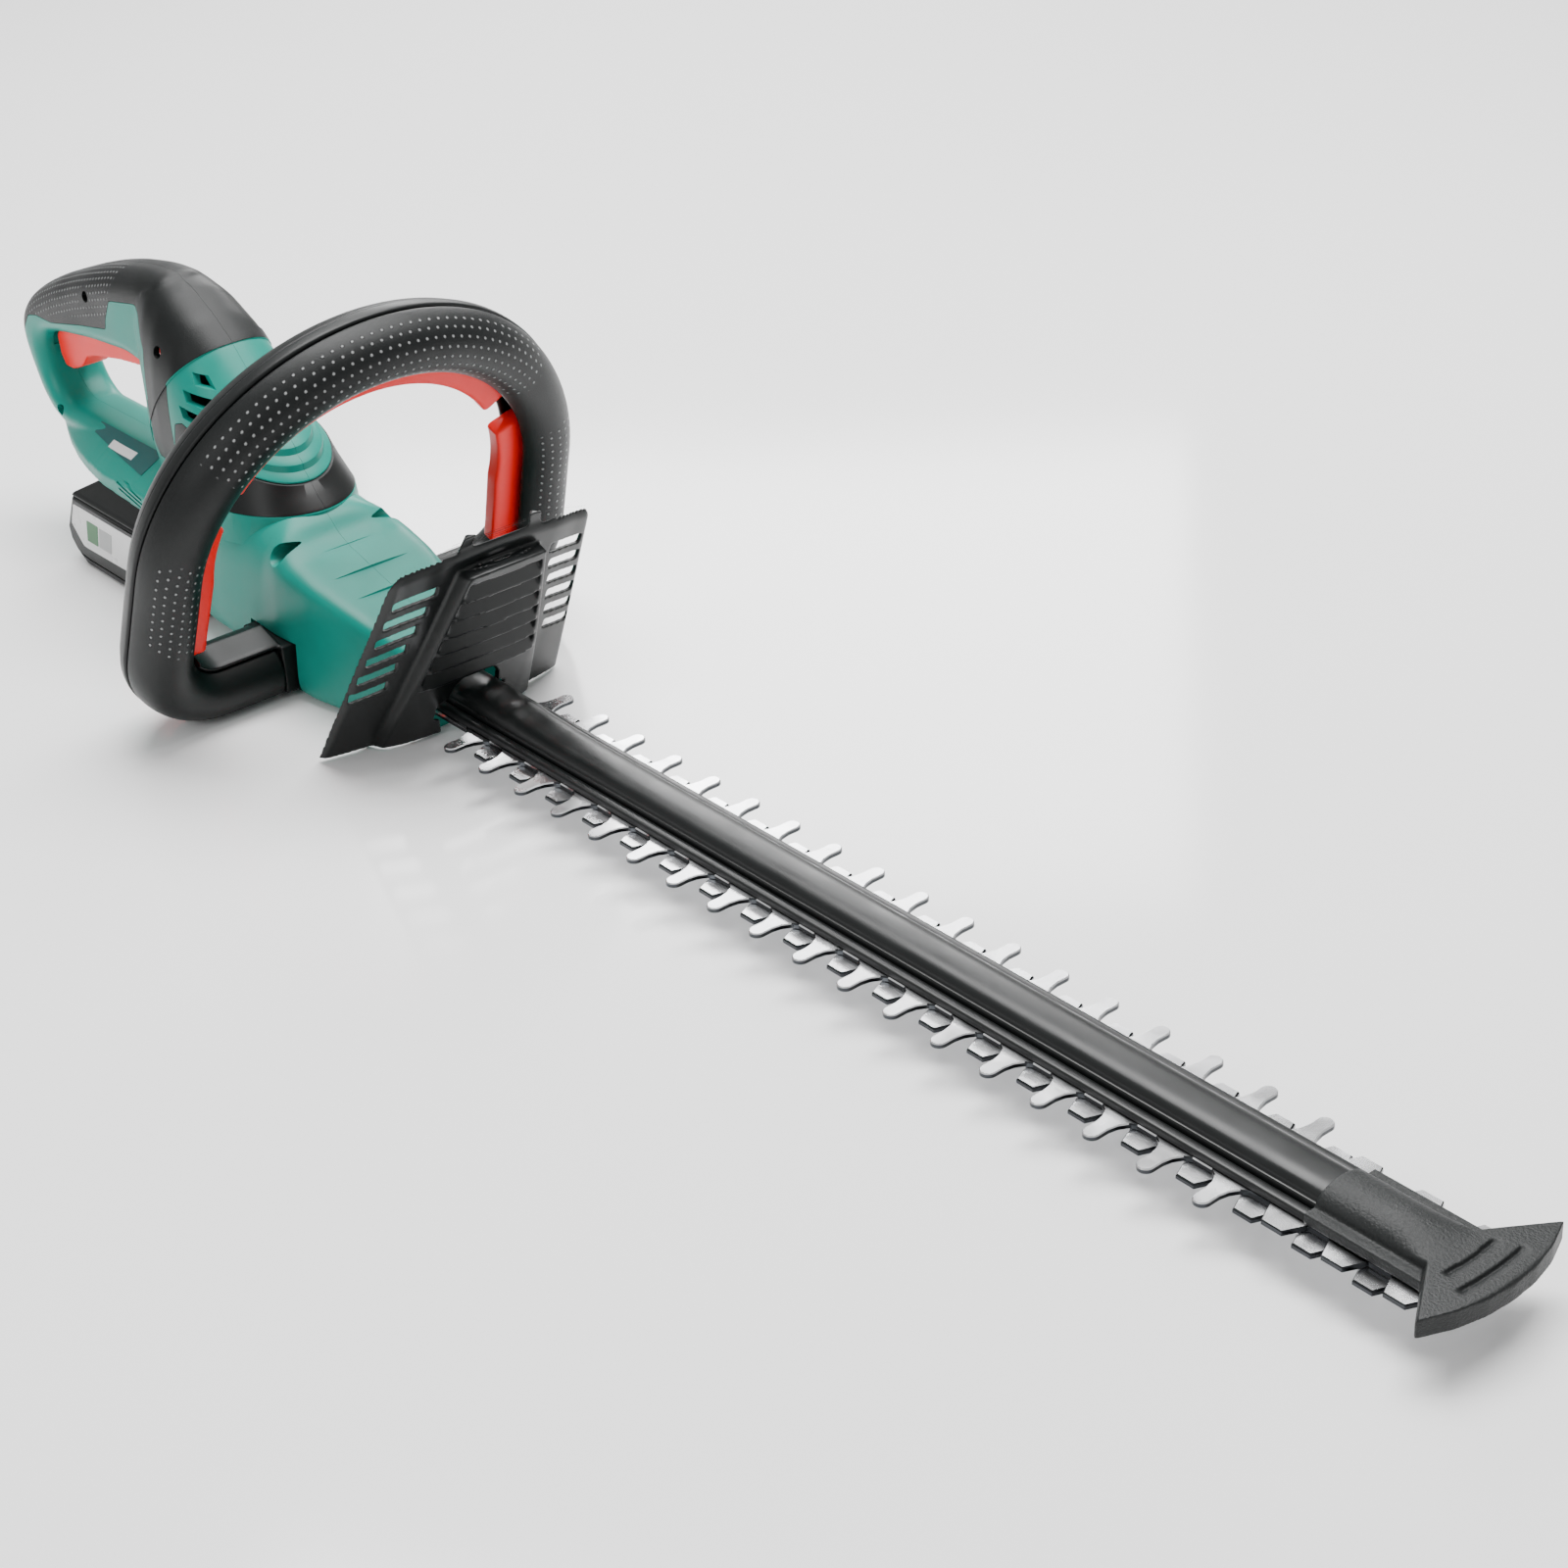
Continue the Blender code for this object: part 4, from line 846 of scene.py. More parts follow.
def comb_tooth(x):
    """One long tooth, rear to front: a waisted finger with a round tip."""
    tip = arc((x, TOOTH_REACH - 3.4), (3.4, 3.4), 180.0, 0.0, 11)
    rear = [(x - 8.6, COMB_HALF), (x - 6.0, COMB_HALF + 1.6), (x - 4.1, COMB_HALF + 5.0),
            (x - 3.3, COMB_HALF + 9.0)]
    front = [(2 * x - a, b) for a, b in reversed(rear)]
    return rear + tip.tolist() + front


def comb_outline():
    side = [(COMB_REAR, COMB_HALF - 4.0), (-10.0, COMB_HALF - 1.0)]
    for i in range(LONG_TEETH + SHORT_TEETH):
        x = i * PITCH
        if i < LONG_TEETH:
            side += comb_tooth(x)
        else:
            side += [(x - 8.5, COMB_HALF), (x - 4.5, CUTTER_REACH),
                     (x + 4.5, CUTTER_REACH), (x + 8.5, COMB_HALF)]
    side.append((531.0, COMB_HALF - 2.0))
    return side + [(x, -y) for x, y in reversed(side)]


def cutter_outline():
    side = [(CUTTER_TAIL, 20.0), (-70.0, 20.0), (-60.0, 15.5)]
    for i in range(LONG_TEETH + SHORT_TEETH - 1):
        x = (i + 0.5) * PITCH
        side += [(x - 8.5, 15.5), (x - 4.2, CUTTER_REACH), (x + 4.2, CUTTER_REACH), (x + 8.5, 15.5)]
    side.append((519.0, 15.5))
    return side + [(x, -y) for x, y in reversed(side)]


def chamfered_plate(name, outline, low, high, chamfer):
    """A flat plate whose upper edge is ground off: three copies of the outline, the top one drawn in."""
    outline = np.asarray(outline, float)
    normal = outward(outline)
    rings = [(outline, low), (outline, high - chamfer), (outline - chamfer * normal, high)]
    return solid(name, [np.column_stack([ring, np.full(len(ring), z)]) for ring, z in rings])


def make_blades(mats):
    comb = chamfered_plate("comb_skin", comb_outline(), -2.0, 0.0, 0.45)
    holes = [turned("hole", [(-8.0, 2.8), (8.0, 2.8)], (x, 0.0, 0.0), count=24) for x in BOLT_X]
    combine(comb, "DIFFERENCE", *holes)
    cutter = chamfered_plate("cutter_skin", cutter_outline(), -4.3, -2.3, 0.7)
    slots = [box("slot", (x - 11.5, x + 11.5), (-3.0, 3.0), (-12.0, 4.0)) for x in BOLT_X]
    slots.append(box("window", (-175.0, -131.0), (-14.0, 14.0), (-12.0, 4.0)))
    combine(cutter, "DIFFERENCE", *slots)
    for obj, body, node in ((comb, "body", "fixed_blade"), (cutter, "blade", "moving_blade")):
        obj.data.set_sharp_from_angle(angle=math.radians(28.0))
        mark_edges(obj)
        finish_piece(obj, mats["blade"], "blade_steel", body, node)


# Stations of the rail: x, top of the ridge, its shoulder, half width of the flange
RAIL_STATIONS = (
    (-42.0, 14.4, 8.4, 16.5), (-14.0, 14.0, 8.2, 16.5), (-7.0, 14.4, 8.2, 16.5), (0.0, 13.2, 8.0, 16.5),
    (6.0, 12.2, 7.8, 16.5), (12.0, 12.7, 7.8, 16.5), (19.0, 11.4, 7.6, 16.5), (40.0, 10.1, 7.2, 16.5),
    (90.0, 9.6, 7.0, 16.5), (500.0, 9.4, 7.0, 16.5),
)


def rail_section(top, shoulder, half):
    """Half section from the edge inwards: flange with a rolled edge, groove, rib, then a rounded ridge."""
    full = 0 * half
    rows = ((half, 0.4), (half, 2.5), (half - 0.4, 3.0), (half - 1.2, 3.25), (12.9 + full, 3.25),
            (12.4 + full, 3.0), (12.1 + full, 1.9), (11.3 + full, 1.9), (11.0 + full, 3.9),
            (10.7 + full, 4.5), (10.2 + full, 4.6), (9.9 + full, 4.9))
    y = [a for a, _ in rows]
    z = [b + full for _, b in rows]
    for t in np.radians((8.0, 20.0, 33.0, 46.0, 59.0, 72.0, 82.0, 90.0)):
        y.append(9.7 * np.cos(t) ** 0.75 + full if t < 1.57 else full)
        z.append(shoulder - 2.0 + (top - shoulder + 2.0) * np.sin(t) ** 0.9)
    return np.stack(y, axis=1), np.stack(z, axis=1)


def make_rail(mats):
    x = np.concatenate([np.linspace(-42.0, 70.0, 120), np.linspace(74.0, 500.0, 90)])
    top, shoulder, half = sections(RAIL_STATIONS, x, 2.5)
    y, z = rail_section(top, shoulder, half)
    right = np.stack([np.broadcast_to(x[:, None], y.shape), y, z], axis=-1)
    left = (right * (1.0, -1.0, 1.0))[:, ::-1][:, 1:]
    rail = solid("rail_skin", np.concatenate([right, left], axis=1))
    holes = [turned("hole", [(-4.0, 2.8), (6.6, 2.8)], (bolt, 0.0, 0.0), count=24) for bolt in BOLT_X]
    combine(rail, "DIFFERENCE", *holes)
    rail.data.set_sharp_from_angle(angle=math.radians(50.0))
    finish_piece(rail, mats["rail_black"], "black_plastic", "body", "blade_rail")


# Tip guard: centre and radius of its front arc, half width there, rear end, flange top, ridge half width
TIP_ARC_X = 430.0
TIP_REACH = 117.2
TIP_HALF = 37.4
TIP_REAR = 475.0
TIP_FLANGE = 4.8
TIP_RIDGE_HALF = 12.4


def make_tip_guard(mats):
    """Sleeve that spreads into a fan: a surface worked out point by point, cut to one plan outline.

    The top is a ridge like the rail's, a half ellipse, that sinks into a flat fan with an arc for its front.
    The fan begins at a slanting line between the ridge and the corners, and has two curved scoops.
    """
    along = np.linspace(0.0, 1.0, 161)
    across = np.linspace(-1.0, 1.0, 141)
    u, v = np.meshgrid(along, across, indexing="ij")
    front = TIP_ARC_X + np.sqrt(TIP_REACH ** 2 - (v * TIP_HALF) ** 2)
    x = TIP_REAR + (front - TIP_REAR) * u
    neck = np.clip((x - 505.0) / 14.0, 0.0, 1.0)
    half = 18.0 + (TIP_HALF + 0.6 - 18.0) * smooth_step(neck)
    y = v * half
    side = np.abs(y)
    fan = smooth_step((x - 519.0 - (side - 10.0) * 0.667) / 1.6)
    low_x = np.clip((x - 503.0) / 26.0, 0.0, 1.0)
    on_ridge = side < TIP_RIDGE_HALF
    ridge = TIP_FLANGE + 6.6 * np.sqrt(np.clip(1.0 - (side / TIP_RIDGE_HALF) ** 2, 0.0, 1.0)) * on_ridge
    flat = 8.6 - 0.02 * np.maximum(side - 18.0, 0.0)
    spread = TIP_FLANGE + (flat - TIP_FLANGE) * fan
    ridge_only = ridge * (1 - smooth_step(low_x)) + np.minimum(flat, ridge + 4.0 * low_x) * smooth_step(low_x)
    top = np.where(on_ridge, np.maximum(ridge_only, spread), spread)
    edge = (1.0 - u) * (front - TIP_REAR)
    top = top - 1.9 * (1.0 - np.sqrt(np.clip(1.0 - (1.0 - np.clip(edge / 2.2, 0, 1)) ** 2, 0, 1)))
    radius = np.hypot(x - TIP_ARC_X, y)
    turn = np.abs(np.degrees(np.arctan2(y, x - TIP_ARC_X)))
    for middle, ends in ((101.4, 7.8), (110.2, 9.2)):
        bank = np.clip((radius - middle + 2.2) / 4.4, 0.0, 1.0)
        scoop = np.where((bank > 0) & (bank < 1), 1.7 * (1.0 - bank), 0.0)
        top = top - scoop * smooth_step((ends - turn) / 1.6)
    upper = np.stack([x, y, top], axis=-1)
    lower = np.stack([x, y, np.full_like(x, 0.6)], axis=-1)
    tip = slab("tip_guard_skin", upper, lower)
    bore = [(-16.9, -2.0), (16.9, -2.0), (16.9, 3.6), (12.2, 3.9), (10.3, 5.0), (9.8, 7.4), (5.0, 9.8),
            (-5.0, 9.8), (-9.8, 7.4), (-10.3, 5.0), (-12.2, 3.9), (-16.9, 3.6)]
    end = [(470.0, -17.8), (524.2, -17.8), (537.8, -37.4), (543.6, -24.0), (546.4, -12.0), (547.2, 0.0)]
    plan = rounded(np.array(end + [(x_end, -y_end) for x_end, y_end in end[-2::-1]]), 500, 3.0)
    combine(tip, "INTERSECT", prism("plan", plan, -1.0, 20.0, "Z"))
    combine(tip, "DIFFERENCE", prism("bore", bore, 470.0, 500.6, "X"))
    moulded(tip, 0.45, 3)
    finish_piece(tip, mats["bumper"], "bumper_plastic", "body", "tip_guard")


# ---------------------------------------------------------------- trigger and handle inserts

TRIGGER_OUTLINE = (
    (-272.0, 99.2), (-283.0, 90.8), (-305.0, 88.0), (-330.0, 83.0), (-341.0, 79.5), (-348.0, 72.5),
    (-358.0, 68.6), (-366.0, 68.2), (-369.5, 74.0), (-370.5, 84.0), (-366.0, 88.5),
    (-350.0, 93.5), (-320.0, 99.0), (-290.0, 103.0), (-279.0, 105.5), (-272.5, 104.5),
)


def make_trigger(mats):
    trigger = prism("trigger_skin", rounded(TRIGGER_OUTLINE, 300, 2.2), -7.6, 7.6)
    moulded(trigger, 0.6, 9)
    combine(trigger, "DIFFERENCE", turned("hole", [(-20.0, 1.9), (20.0, 1.9)], (-276.0, 0.0, 102.0), "Y", 24))
    trigger.data.set_sharp_from_angle(angle=math.radians(40.0))
    finish_piece(trigger, mats["red"], "red_plastic", "trigger", "trigger")


# Where the strip that closes the arm's inner side starts, and its end as an angle of the corner
ARM_COVER_START = 42.4
ARM_COVER_END = 216.0


def make_inserts(mats):
    """The sleeve round each arm at the housing, and the flat-topped strip that closes the arm."""
    corner = arc(CORNER_CENTRE, (ARM_CORNER, ARM_CORNER), 270.0, ARM_COVER_END, 30)
    line = resampled(np.vstack([[(-ARM_COVER_START, ARM_LEVEL)], corner]), 60)
    section = np.array([(10.8, -5.0), (13.6, -6.0), (14.6, -7.6), (15.2, -7.6), (15.6, -6.8), (15.8, 7.2),
                        (15.4, 9.0), (14.6, 9.2), (13.2, 7.8), (10.8, 6.6)])
    strip = solid("arm_strip", carried(section, line))
    right = box("right_insert_skin", (-149.4, -115.6), (-43.8, -35.0), (-13.0, 10.4))
    combine(right, "UNION", strip)
    moulded(right, 0.55, 2)
    left = mirrored(right, "left_insert_skin")
    finish_piece(right, mats["black"], "black_plastic", "body", "right_handle_insert")
    finish_piece(left, mats["black"], "black_plastic", "body", "left_handle_insert")


# ---------------------------------------------------------------- battery

PACK_REAR = -334.0
PACK_FRONT = -217.0
PACK_HALF = 37.5
PACK_SPLIT = 20.0
GROUND = -17.0


def make_battery(mats):
    base = [(-317.0, GROUND), (PACK_FRONT - 4.0, GROUND), (PACK_FRONT, GROUND + 4.0),
            (PACK_FRONT, PACK_SPLIT - GAP),
            (-322.3, PACK_SPLIT - GAP), (-332.2, 0.5), (-331.0, -6.5), (-326.0, -12.0)]
    outline = rounded(base, 500, 1.6)
    lower = pillow("battery_base_skin", outline, PACK_HALF, 2.2)
    well = prism("well", [(-313.0, GROUND + 3.0), (PACK_FRONT - 3.0, GROUND + 3.0), (PACK_FRONT - 3.0, 40.0),
                          (-319.0, 40.0), (-328.5, 0.0)], -PACK_HALF + 3.2, PACK_HALF - 3.2)
    combine(lower, "DIFFERENCE", well)
    for sign in (-1, 1):
        step = [(-334.0, -3.0), (-327.0, -11.0), (-313.0, -12.4), (-200.0, -12.4), (-200.0, -13.2),
                (-313.6, -13.2), (-327.8, -11.8), (-334.6, -3.6)]
        combine(lower, "DIFFERENCE", side_prism("groove", step, sign, PACK_HALF - 0.7, PACK_HALF + 3.0))
    lower.data.set_sharp_from_angle(angle=math.radians(32.0))
    finish_piece(lower, mats["black"], "black_plastic", "battery", "battery_base")
    rings = []
    for z, half, back, front in ((PACK_SPLIT, PACK_HALF - 0.2, -322.2, PACK_FRONT),
                                 (21.2, PACK_HALF - 0.6, -321.6, PACK_FRONT - 0.2),
                                 (22.0, PACK_HALF - 1.4, -320.6, PACK_FRONT - 0.4),
                                 (31.6, 30.5, -303.0, PACK_FRONT - 2.0)):
        rings.append([(back, -half, z), (front, -half, z), (front, half, z), (back, half, z)])
    upper = solid("battery_top_skin", rings)
    shelf = box("shelf", (-316.0, PACK_FRONT - 6.0), (-30.0, 30.0), (10.0, 21.5))
    room = box("button_room", (PACK_REAR - 10.0, PACK_REAR + 24.0), (-13.5, 13.5), (19.0, 40.0))
    combine(upper, "DIFFERENCE", shelf, room)
    moulded(upper, 0.7, 1)
    finish_piece(upper, mats["black"], "black_plastic", "battery", "battery_top")
    button = [(-321.6, 20.5), (-310.7, 20.5), (-310.7, 27.6), (-312.5, 27.6), (-320.6, 22.6)]
    piece = pillow("battery_button_skin", rounded(button, 120, 0.8), 12.8, 1.0)
    finish_piece(piece, mats["grey"], "grey_plastic", "battery_button", "battery_button")
    band = [(-321.3, 15.4), (-222.0, 15.4), (-222.0, -5.0), (-313.0, -6.4), (-317.0, -6.2), (-326.6, 3.4)]
    badge = [(-309.0, 10.2), (-297.6, 10.2), (-300.6, -1.6), (-311.4, -1.6)]
    field = [(-296.4, 9.8), (-284.0, 9.8), (-287.0, -1.4), (-299.4, -1.4)]
    for sign, side in ((-1, "right"), (1, "left")):
        for name, outline, mat, lift in (("label", band, "label", 0.12), ("badge", badge, "badge", 0.26),
                                         ("panel", field, "pale_film", 0.26)):
            shape = rounded(outline, 240, 1.0)
            film = side_prism(side + "_" + name, shape, sign, PACK_HALF - 0.4, PACK_HALF + lift)
            film.data.set_sharp_from_angle(angle=math.radians(32.0))
            finish_piece(film, mats[mat], "grey_plastic", "battery")


# ---------------------------------------------------------------- rating plate

def foot_strip(name, x, low_t, high_t, sign, lift):
    """A thin film on the foot's sloping side: x along it, t from the crease (0) to the shoulder (1)."""
    _, shoulder, top, half, flat = sections(FOOT_STATIONS, x, 6.0)
    slope = np.hypot(half - flat, top - shoulder)
    rings = []
    for t, raised in ((low_t, -0.6), (low_t, lift), (high_t, lift), (high_t, -0.6)):
        y = flat + (half - flat) * t + raised * (top - shoulder) / slope
        z = top + (shoulder - top) * t + raised * (half - flat) / slope
        rings.append(np.column_stack([x, sign * y, z]))
    film = solid(name, np.stack(rings, axis=1))
    film.data.set_sharp_from_angle(angle=math.radians(32.0))
    return film


def make_rating_plates(mats):
    """A blank dark plate on the foot's near side, widening forwards, and its white blank field."""
    x = np.linspace(-326.0, -264.0, 40)
    high = 0.34 + 0.30 * (x + 326.0) / 62.0
    plate = foot_strip("right_plate", x, 0.02 + 0 * x, high, -1, 0.22)
    finish_piece(plate, mats["plate"], "teal_plastic", "body")
    x = np.linspace(-306.0, -281.0, 12)
    field = foot_strip("right_field", x, 0.26 + 0 * x, 0.46 + 0 * x, -1, 0.36)
    finish_piece(field, mats["label"], "grey_plastic", "body")


# ---------------------------------------------------------------- shader groups

def new_group(name, inputs, outputs):
    """A shader group with float or vector sockets and the nodes at its two ends."""
    tree = bpy.data.node_groups.new(name, "ShaderNodeTree")
    for label, kind, value in inputs:
        socket = tree.interface.new_socket(label, in_out="INPUT", socket_type=kind)
        if value is not None:
            socket.default_value = value
    for label, kind in outputs:
        tree.interface.new_socket(label, in_out="OUTPUT", socket_type=kind)
    return tree, tree.nodes.new("NodeGroupInput"), tree.nodes.new("NodeGroupOutput")


def node(tree, kind, **settings):
    """A node with attributes set by name, and sockets by in_NAME or in_NUMBER."""
    made = tree.nodes.new(kind)
    for key, value in settings.items():
        if key.startswith("in_"):
            label = key[3:]
            made.inputs[int(label) if label.isdigit() else label].default_value = value
        else:
            setattr(made, key, value)
    return made


def math_node(tree, operation, a, b=None, clamp=False):
    made = node(tree, "ShaderNodeMath", operation=operation, use_clamp=clamp)
    for socket, value in zip(made.inputs, (a, b)):
        if value is None:
            continue
        if isinstance(value, (int, float)):
            socket.default_value = value
        else:
            tree.links.new(value, socket)
    return made.outputs[0]


def noise(tree, vector, scale, detail=2.0, roughness=0.5):
    made = node(tree, "ShaderNodeTexNoise", in_Scale=scale, in_Detail=detail, in_Roughness=roughness)
    tree.links.new(vector, made.inputs["Vector"])
    return made.outputs["Fac"]


def moulding_group():
    """Spark-eroded grain, slow mottling and dust of a plastic moulding, from metres."""
    tree, start, end = new_group(
        "moulding", (("Vector", "NodeSocketVector", None), ("Grain", "NodeSocketFloat", 2600.0),
                     ("Depth", "NodeSocketFloat", 0.5)),
        (("Height", "NodeSocketFloat"), ("Mottle", "NodeSocketFloat"), ("Dust", "NodeSocketFloat")))
    vector = start.outputs["Vector"]
    fine = node(tree, "ShaderNodeTexNoise", in_Detail=3.0, in_Roughness=0.6)
    tree.links.new(vector, fine.inputs["Vector"])
    tree.links.new(start.outputs["Grain"], fine.inputs["Scale"])
    height = math_node(tree, "MULTIPLY", fine.outputs["Fac"], start.outputs["Depth"])
    tree.links.new(height, end.inputs["Height"])
    tree.links.new(noise(tree, vector, 45.0, 3.0), end.inputs["Mottle"])
    specks = math_node(tree, "SUBTRACT", noise(tree, vector, 900.0, 4.0, 0.7), 0.62)
    tree.links.new(math_node(tree, "MULTIPLY", specks, 6.0, clamp=True), end.inputs["Dust"])
    return tree


def dots_group():
    """Rows of small round studs on a lattice, every other row shifted half a step."""
    tree, start, end = new_group(
        "dots", (("Vector", "NodeSocketVector", None), ("Pitch", "NodeSocketFloat", 4.4),
                 ("Radius", "NodeSocketFloat", 0.62)),
        (("Height", "NodeSocketFloat"),))
    split = node(tree, "ShaderNodeSeparateXYZ")
    tree.links.new(start.outputs["Vector"], split.inputs[0])
    pitch = start.outputs["Pitch"]
    row = math_node(tree, "DIVIDE", split.outputs["Y"], pitch)
    whole = math_node(tree, "FLOOR", row)
    odd = math_node(tree, "MODULO", math_node(tree, "ABSOLUTE", whole), 2.0)
    shift = math_node(tree, "MULTIPLY", odd, 0.5)
    column = math_node(tree, "ADD", math_node(tree, "DIVIDE", split.outputs["X"], pitch), shift)
    offsets = []
    for value in (row, column):
        near = math_node(tree, "SUBTRACT", math_node(tree, "FRACT", value), 0.5)
        offsets.append(math_node(tree, "MULTIPLY", near, pitch))
    squares = [math_node(tree, "MULTIPLY", value, value) for value in offsets]
    distance = math_node(tree, "SQRT", math_node(tree, "ADD", *squares))
    inside = math_node(tree, "SUBTRACT", start.outputs["Radius"], distance)
    stud = math_node(tree, "MULTIPLY", inside, 2.4, clamp=True)
    tree.links.new(stud, end.inputs["Height"])
    return tree


def brushed_group():
    """Ground steel: fine parallel scratches across the blade, and slow changes in polish."""
    tree, start, end = new_group(
        "brushed", (("Vector", "NodeSocketVector", None),),
        (("Height", "NodeSocketFloat"), ("Polish", "NodeSocketFloat")))
    stretch = node(tree, "ShaderNodeMapping", in_Scale=(4200.0, 160.0, 4200.0))
    tree.links.new(start.outputs["Vector"], stretch.inputs["Vector"])
    tree.links.new(noise(tree, stretch.outputs[0], 1.0, 3.0), end.inputs["Height"])
    tree.links.new(noise(tree, start.outputs["Vector"], 60.0, 3.0), end.inputs["Polish"])
    return tree


# ---------------------------------------------------------------- materials

def new_material(name, colour, roughness, metallic=0.0, specular=0.5):
    mat = bpy.data.materials.new(name)
    mat.use_nodes = True
    shader = mat.node_tree.nodes["Principled BSDF"]
    shader.inputs["Base Color"].default_value = (*colour, 1.0)
    shader.inputs["Roughness"].default_value = roughness
    shader.inputs["Metallic"].default_value = metallic
    shader.inputs["Specular IOR Level"].default_value = specular
    return mat, mat.node_tree, shader


def placed_group(tree, group, vector, **values):
    made = node(tree, "ShaderNodeGroup", node_tree=group)
    tree.links.new(vector, made.inputs["Vector"])
    for label, value in values.items():
        made.inputs[label].default_value = value
    return made


def ramp(tree, value, low, high, out_low, out_high):
    made = node(tree, "ShaderNodeMapRange", in_1=low, in_2=high, in_3=out_low, in_4=out_high)
    tree.links.new(value, made.inputs[0])
    return made.outputs[0]


def mixed(tree, factor, a, b):
    made = node(tree, "ShaderNodeMix", data_type="RGBA")
    tree.links.new(factor, made.inputs[0])
    for socket, value in ((made.inputs[6], a), (made.inputs[7], b)):
        if isinstance(value, tuple):
            socket.default_value = (*value, 1.0)
        else:
            tree.links.new(value, socket)
    return made.outputs[2]


def bump(tree, shader, height, strength, distance):
    made = node(tree, "ShaderNodeBump", in_Strength=strength, in_Distance=distance)
    tree.links.new(height, made.inputs["Height"])
    tree.links.new(made.outputs[0], shader.inputs["Normal"])
    return made


BLACK = (0.0028, 0.0040, 0.0040)
BLACK_SPECULAR = 0.3


def plastic(name, groups, colour, pale, rough, grain=2600.0, strength=0.12, specular=0.5):
    """A moulded plastic: mottled colour, uneven polish, fine grain and a little dust."""
    mat, tree, shader = new_material(name, colour, rough, specular=specular)
    place = node(tree, "ShaderNodeTexCoord").outputs["Object"]
    skin = placed_group(tree, groups["moulding"], place, Grain=grain, Depth=1.0)
    tint = mixed(tree, ramp(tree, skin.outputs["Mottle"], 0.3, 0.7, 0.0, 1.0), colour, pale)
    dusty = tuple(min(1.0, c * 1.15 + 0.004) for c in colour)
    tint = mixed(tree, math_node(tree, "MULTIPLY", skin.outputs["Dust"], 0.35), tint, dusty)
    tree.links.new(tint, shader.inputs["Base Color"])
    polish = ramp(tree, skin.outputs["Mottle"], 0.25, 0.75, rough - 0.05, rough + 0.06)
    tree.links.new(polish, shader.inputs["Roughness"])
    bump(tree, shader, skin.outputs["Height"], strength, 0.0004)
    return mat


def dimpled_rubber(name, groups, pitch, radius, attribute=None):
    """A black grip with studs on its surface map, or on a stored place, where the mask allows them; the studs
    are painted pale as a painted highlight.
    """
    mat, tree, shader = new_material(name, BLACK, 0.5, specular=BLACK_SPECULAR)
    coords = node(tree, "ShaderNodeTexCoord")
    place = coords.outputs["UV"]
    if attribute:
        place = node(tree, "ShaderNodeAttribute", attribute_name=attribute).outputs["Vector"]
    dots = placed_group(tree, groups["dots"], place, Pitch=pitch, Radius=radius)
    mask = node(tree, "ShaderNodeAttribute", attribute_name="dimples")
    studs = math_node(tree, "MULTIPLY", dots.outputs["Height"], mask.outputs["Fac"])
    skin = placed_group(tree, groups["moulding"], coords.outputs["Object"], Grain=2400.0, Depth=0.12)
    bump(tree, shader, math_node(tree, "ADD", studs, skin.outputs["Height"]), 1.0, 0.0009)
    # painted highlight: the studs are painted pale grey for the glints they catch
    tint = mixed(tree, studs, BLACK, (0.3, 0.31, 0.31))
    tree.links.new(tint, shader.inputs["Base Color"])
    tree.links.new(ramp(tree, skin.outputs["Mottle"], 0.25, 0.75, 0.36, 0.46), shader.inputs["Roughness"])
    return mat


def steel(groups):
    """Ground steel, with painted shade on the steep edge faces marked by the attribute "edge"."""
    mat, tree, shader = new_material("blade_steel", (0.82, 0.83, 0.84), 0.2, metallic=1.0)
    place = node(tree, "ShaderNodeTexCoord").outputs["Object"]
    lines = placed_group(tree, groups["brushed"], place)
    edge = node(tree, "ShaderNodeAttribute", attribute_name="edge").outputs["Fac"]
    flat = mixed(tree, lines.outputs["Polish"], (0.97, 0.97, 0.98), (0.82, 0.83, 0.85))
    # painted shade: the steep faces are painted near black
    tint = mixed(tree, edge, flat, (0.045, 0.048, 0.052))
    tree.links.new(tint, shader.inputs["Base Color"])
    tree.links.new(ramp(tree, lines.outputs["Polish"], 0.3, 0.7, 0.14, 0.3), shader.inputs["Roughness"])
    bump(tree, shader, lines.outputs["Height"], 0.1, 0.0002)
    return mat


def mark_edges(obj):
    """Stores 1 on every face that stands steeply, so that these faces can take painted shade."""
    normals = np.empty(3 * len(obj.data.polygons), np.float32)
    obj.data.polygons.foreach_get("normal", normals)
    steep = np.abs(normals.reshape(-1, 3)[:, 2]) < 0.7
    obj.data.attributes.new("edge", "FLOAT", "FACE").data.foreach_set("value", steep.astype(np.float32))


def inner_metal(name, groups, colour, rough):
    mat, tree, shader = new_material(name, colour, rough, metallic=1.0)
    place = node(tree, "ShaderNodeTexCoord").outputs["Object"]
    lines = placed_group(tree, groups["brushed"], place)
    polish = ramp(tree, lines.outputs["Polish"], 0.3, 0.7, rough - 0.06, rough + 0.1)
    tree.links.new(polish, shader.inputs["Roughness"])
    bump(tree, shader, lines.outputs["Height"], 0.08, 0.0002)
    return mat


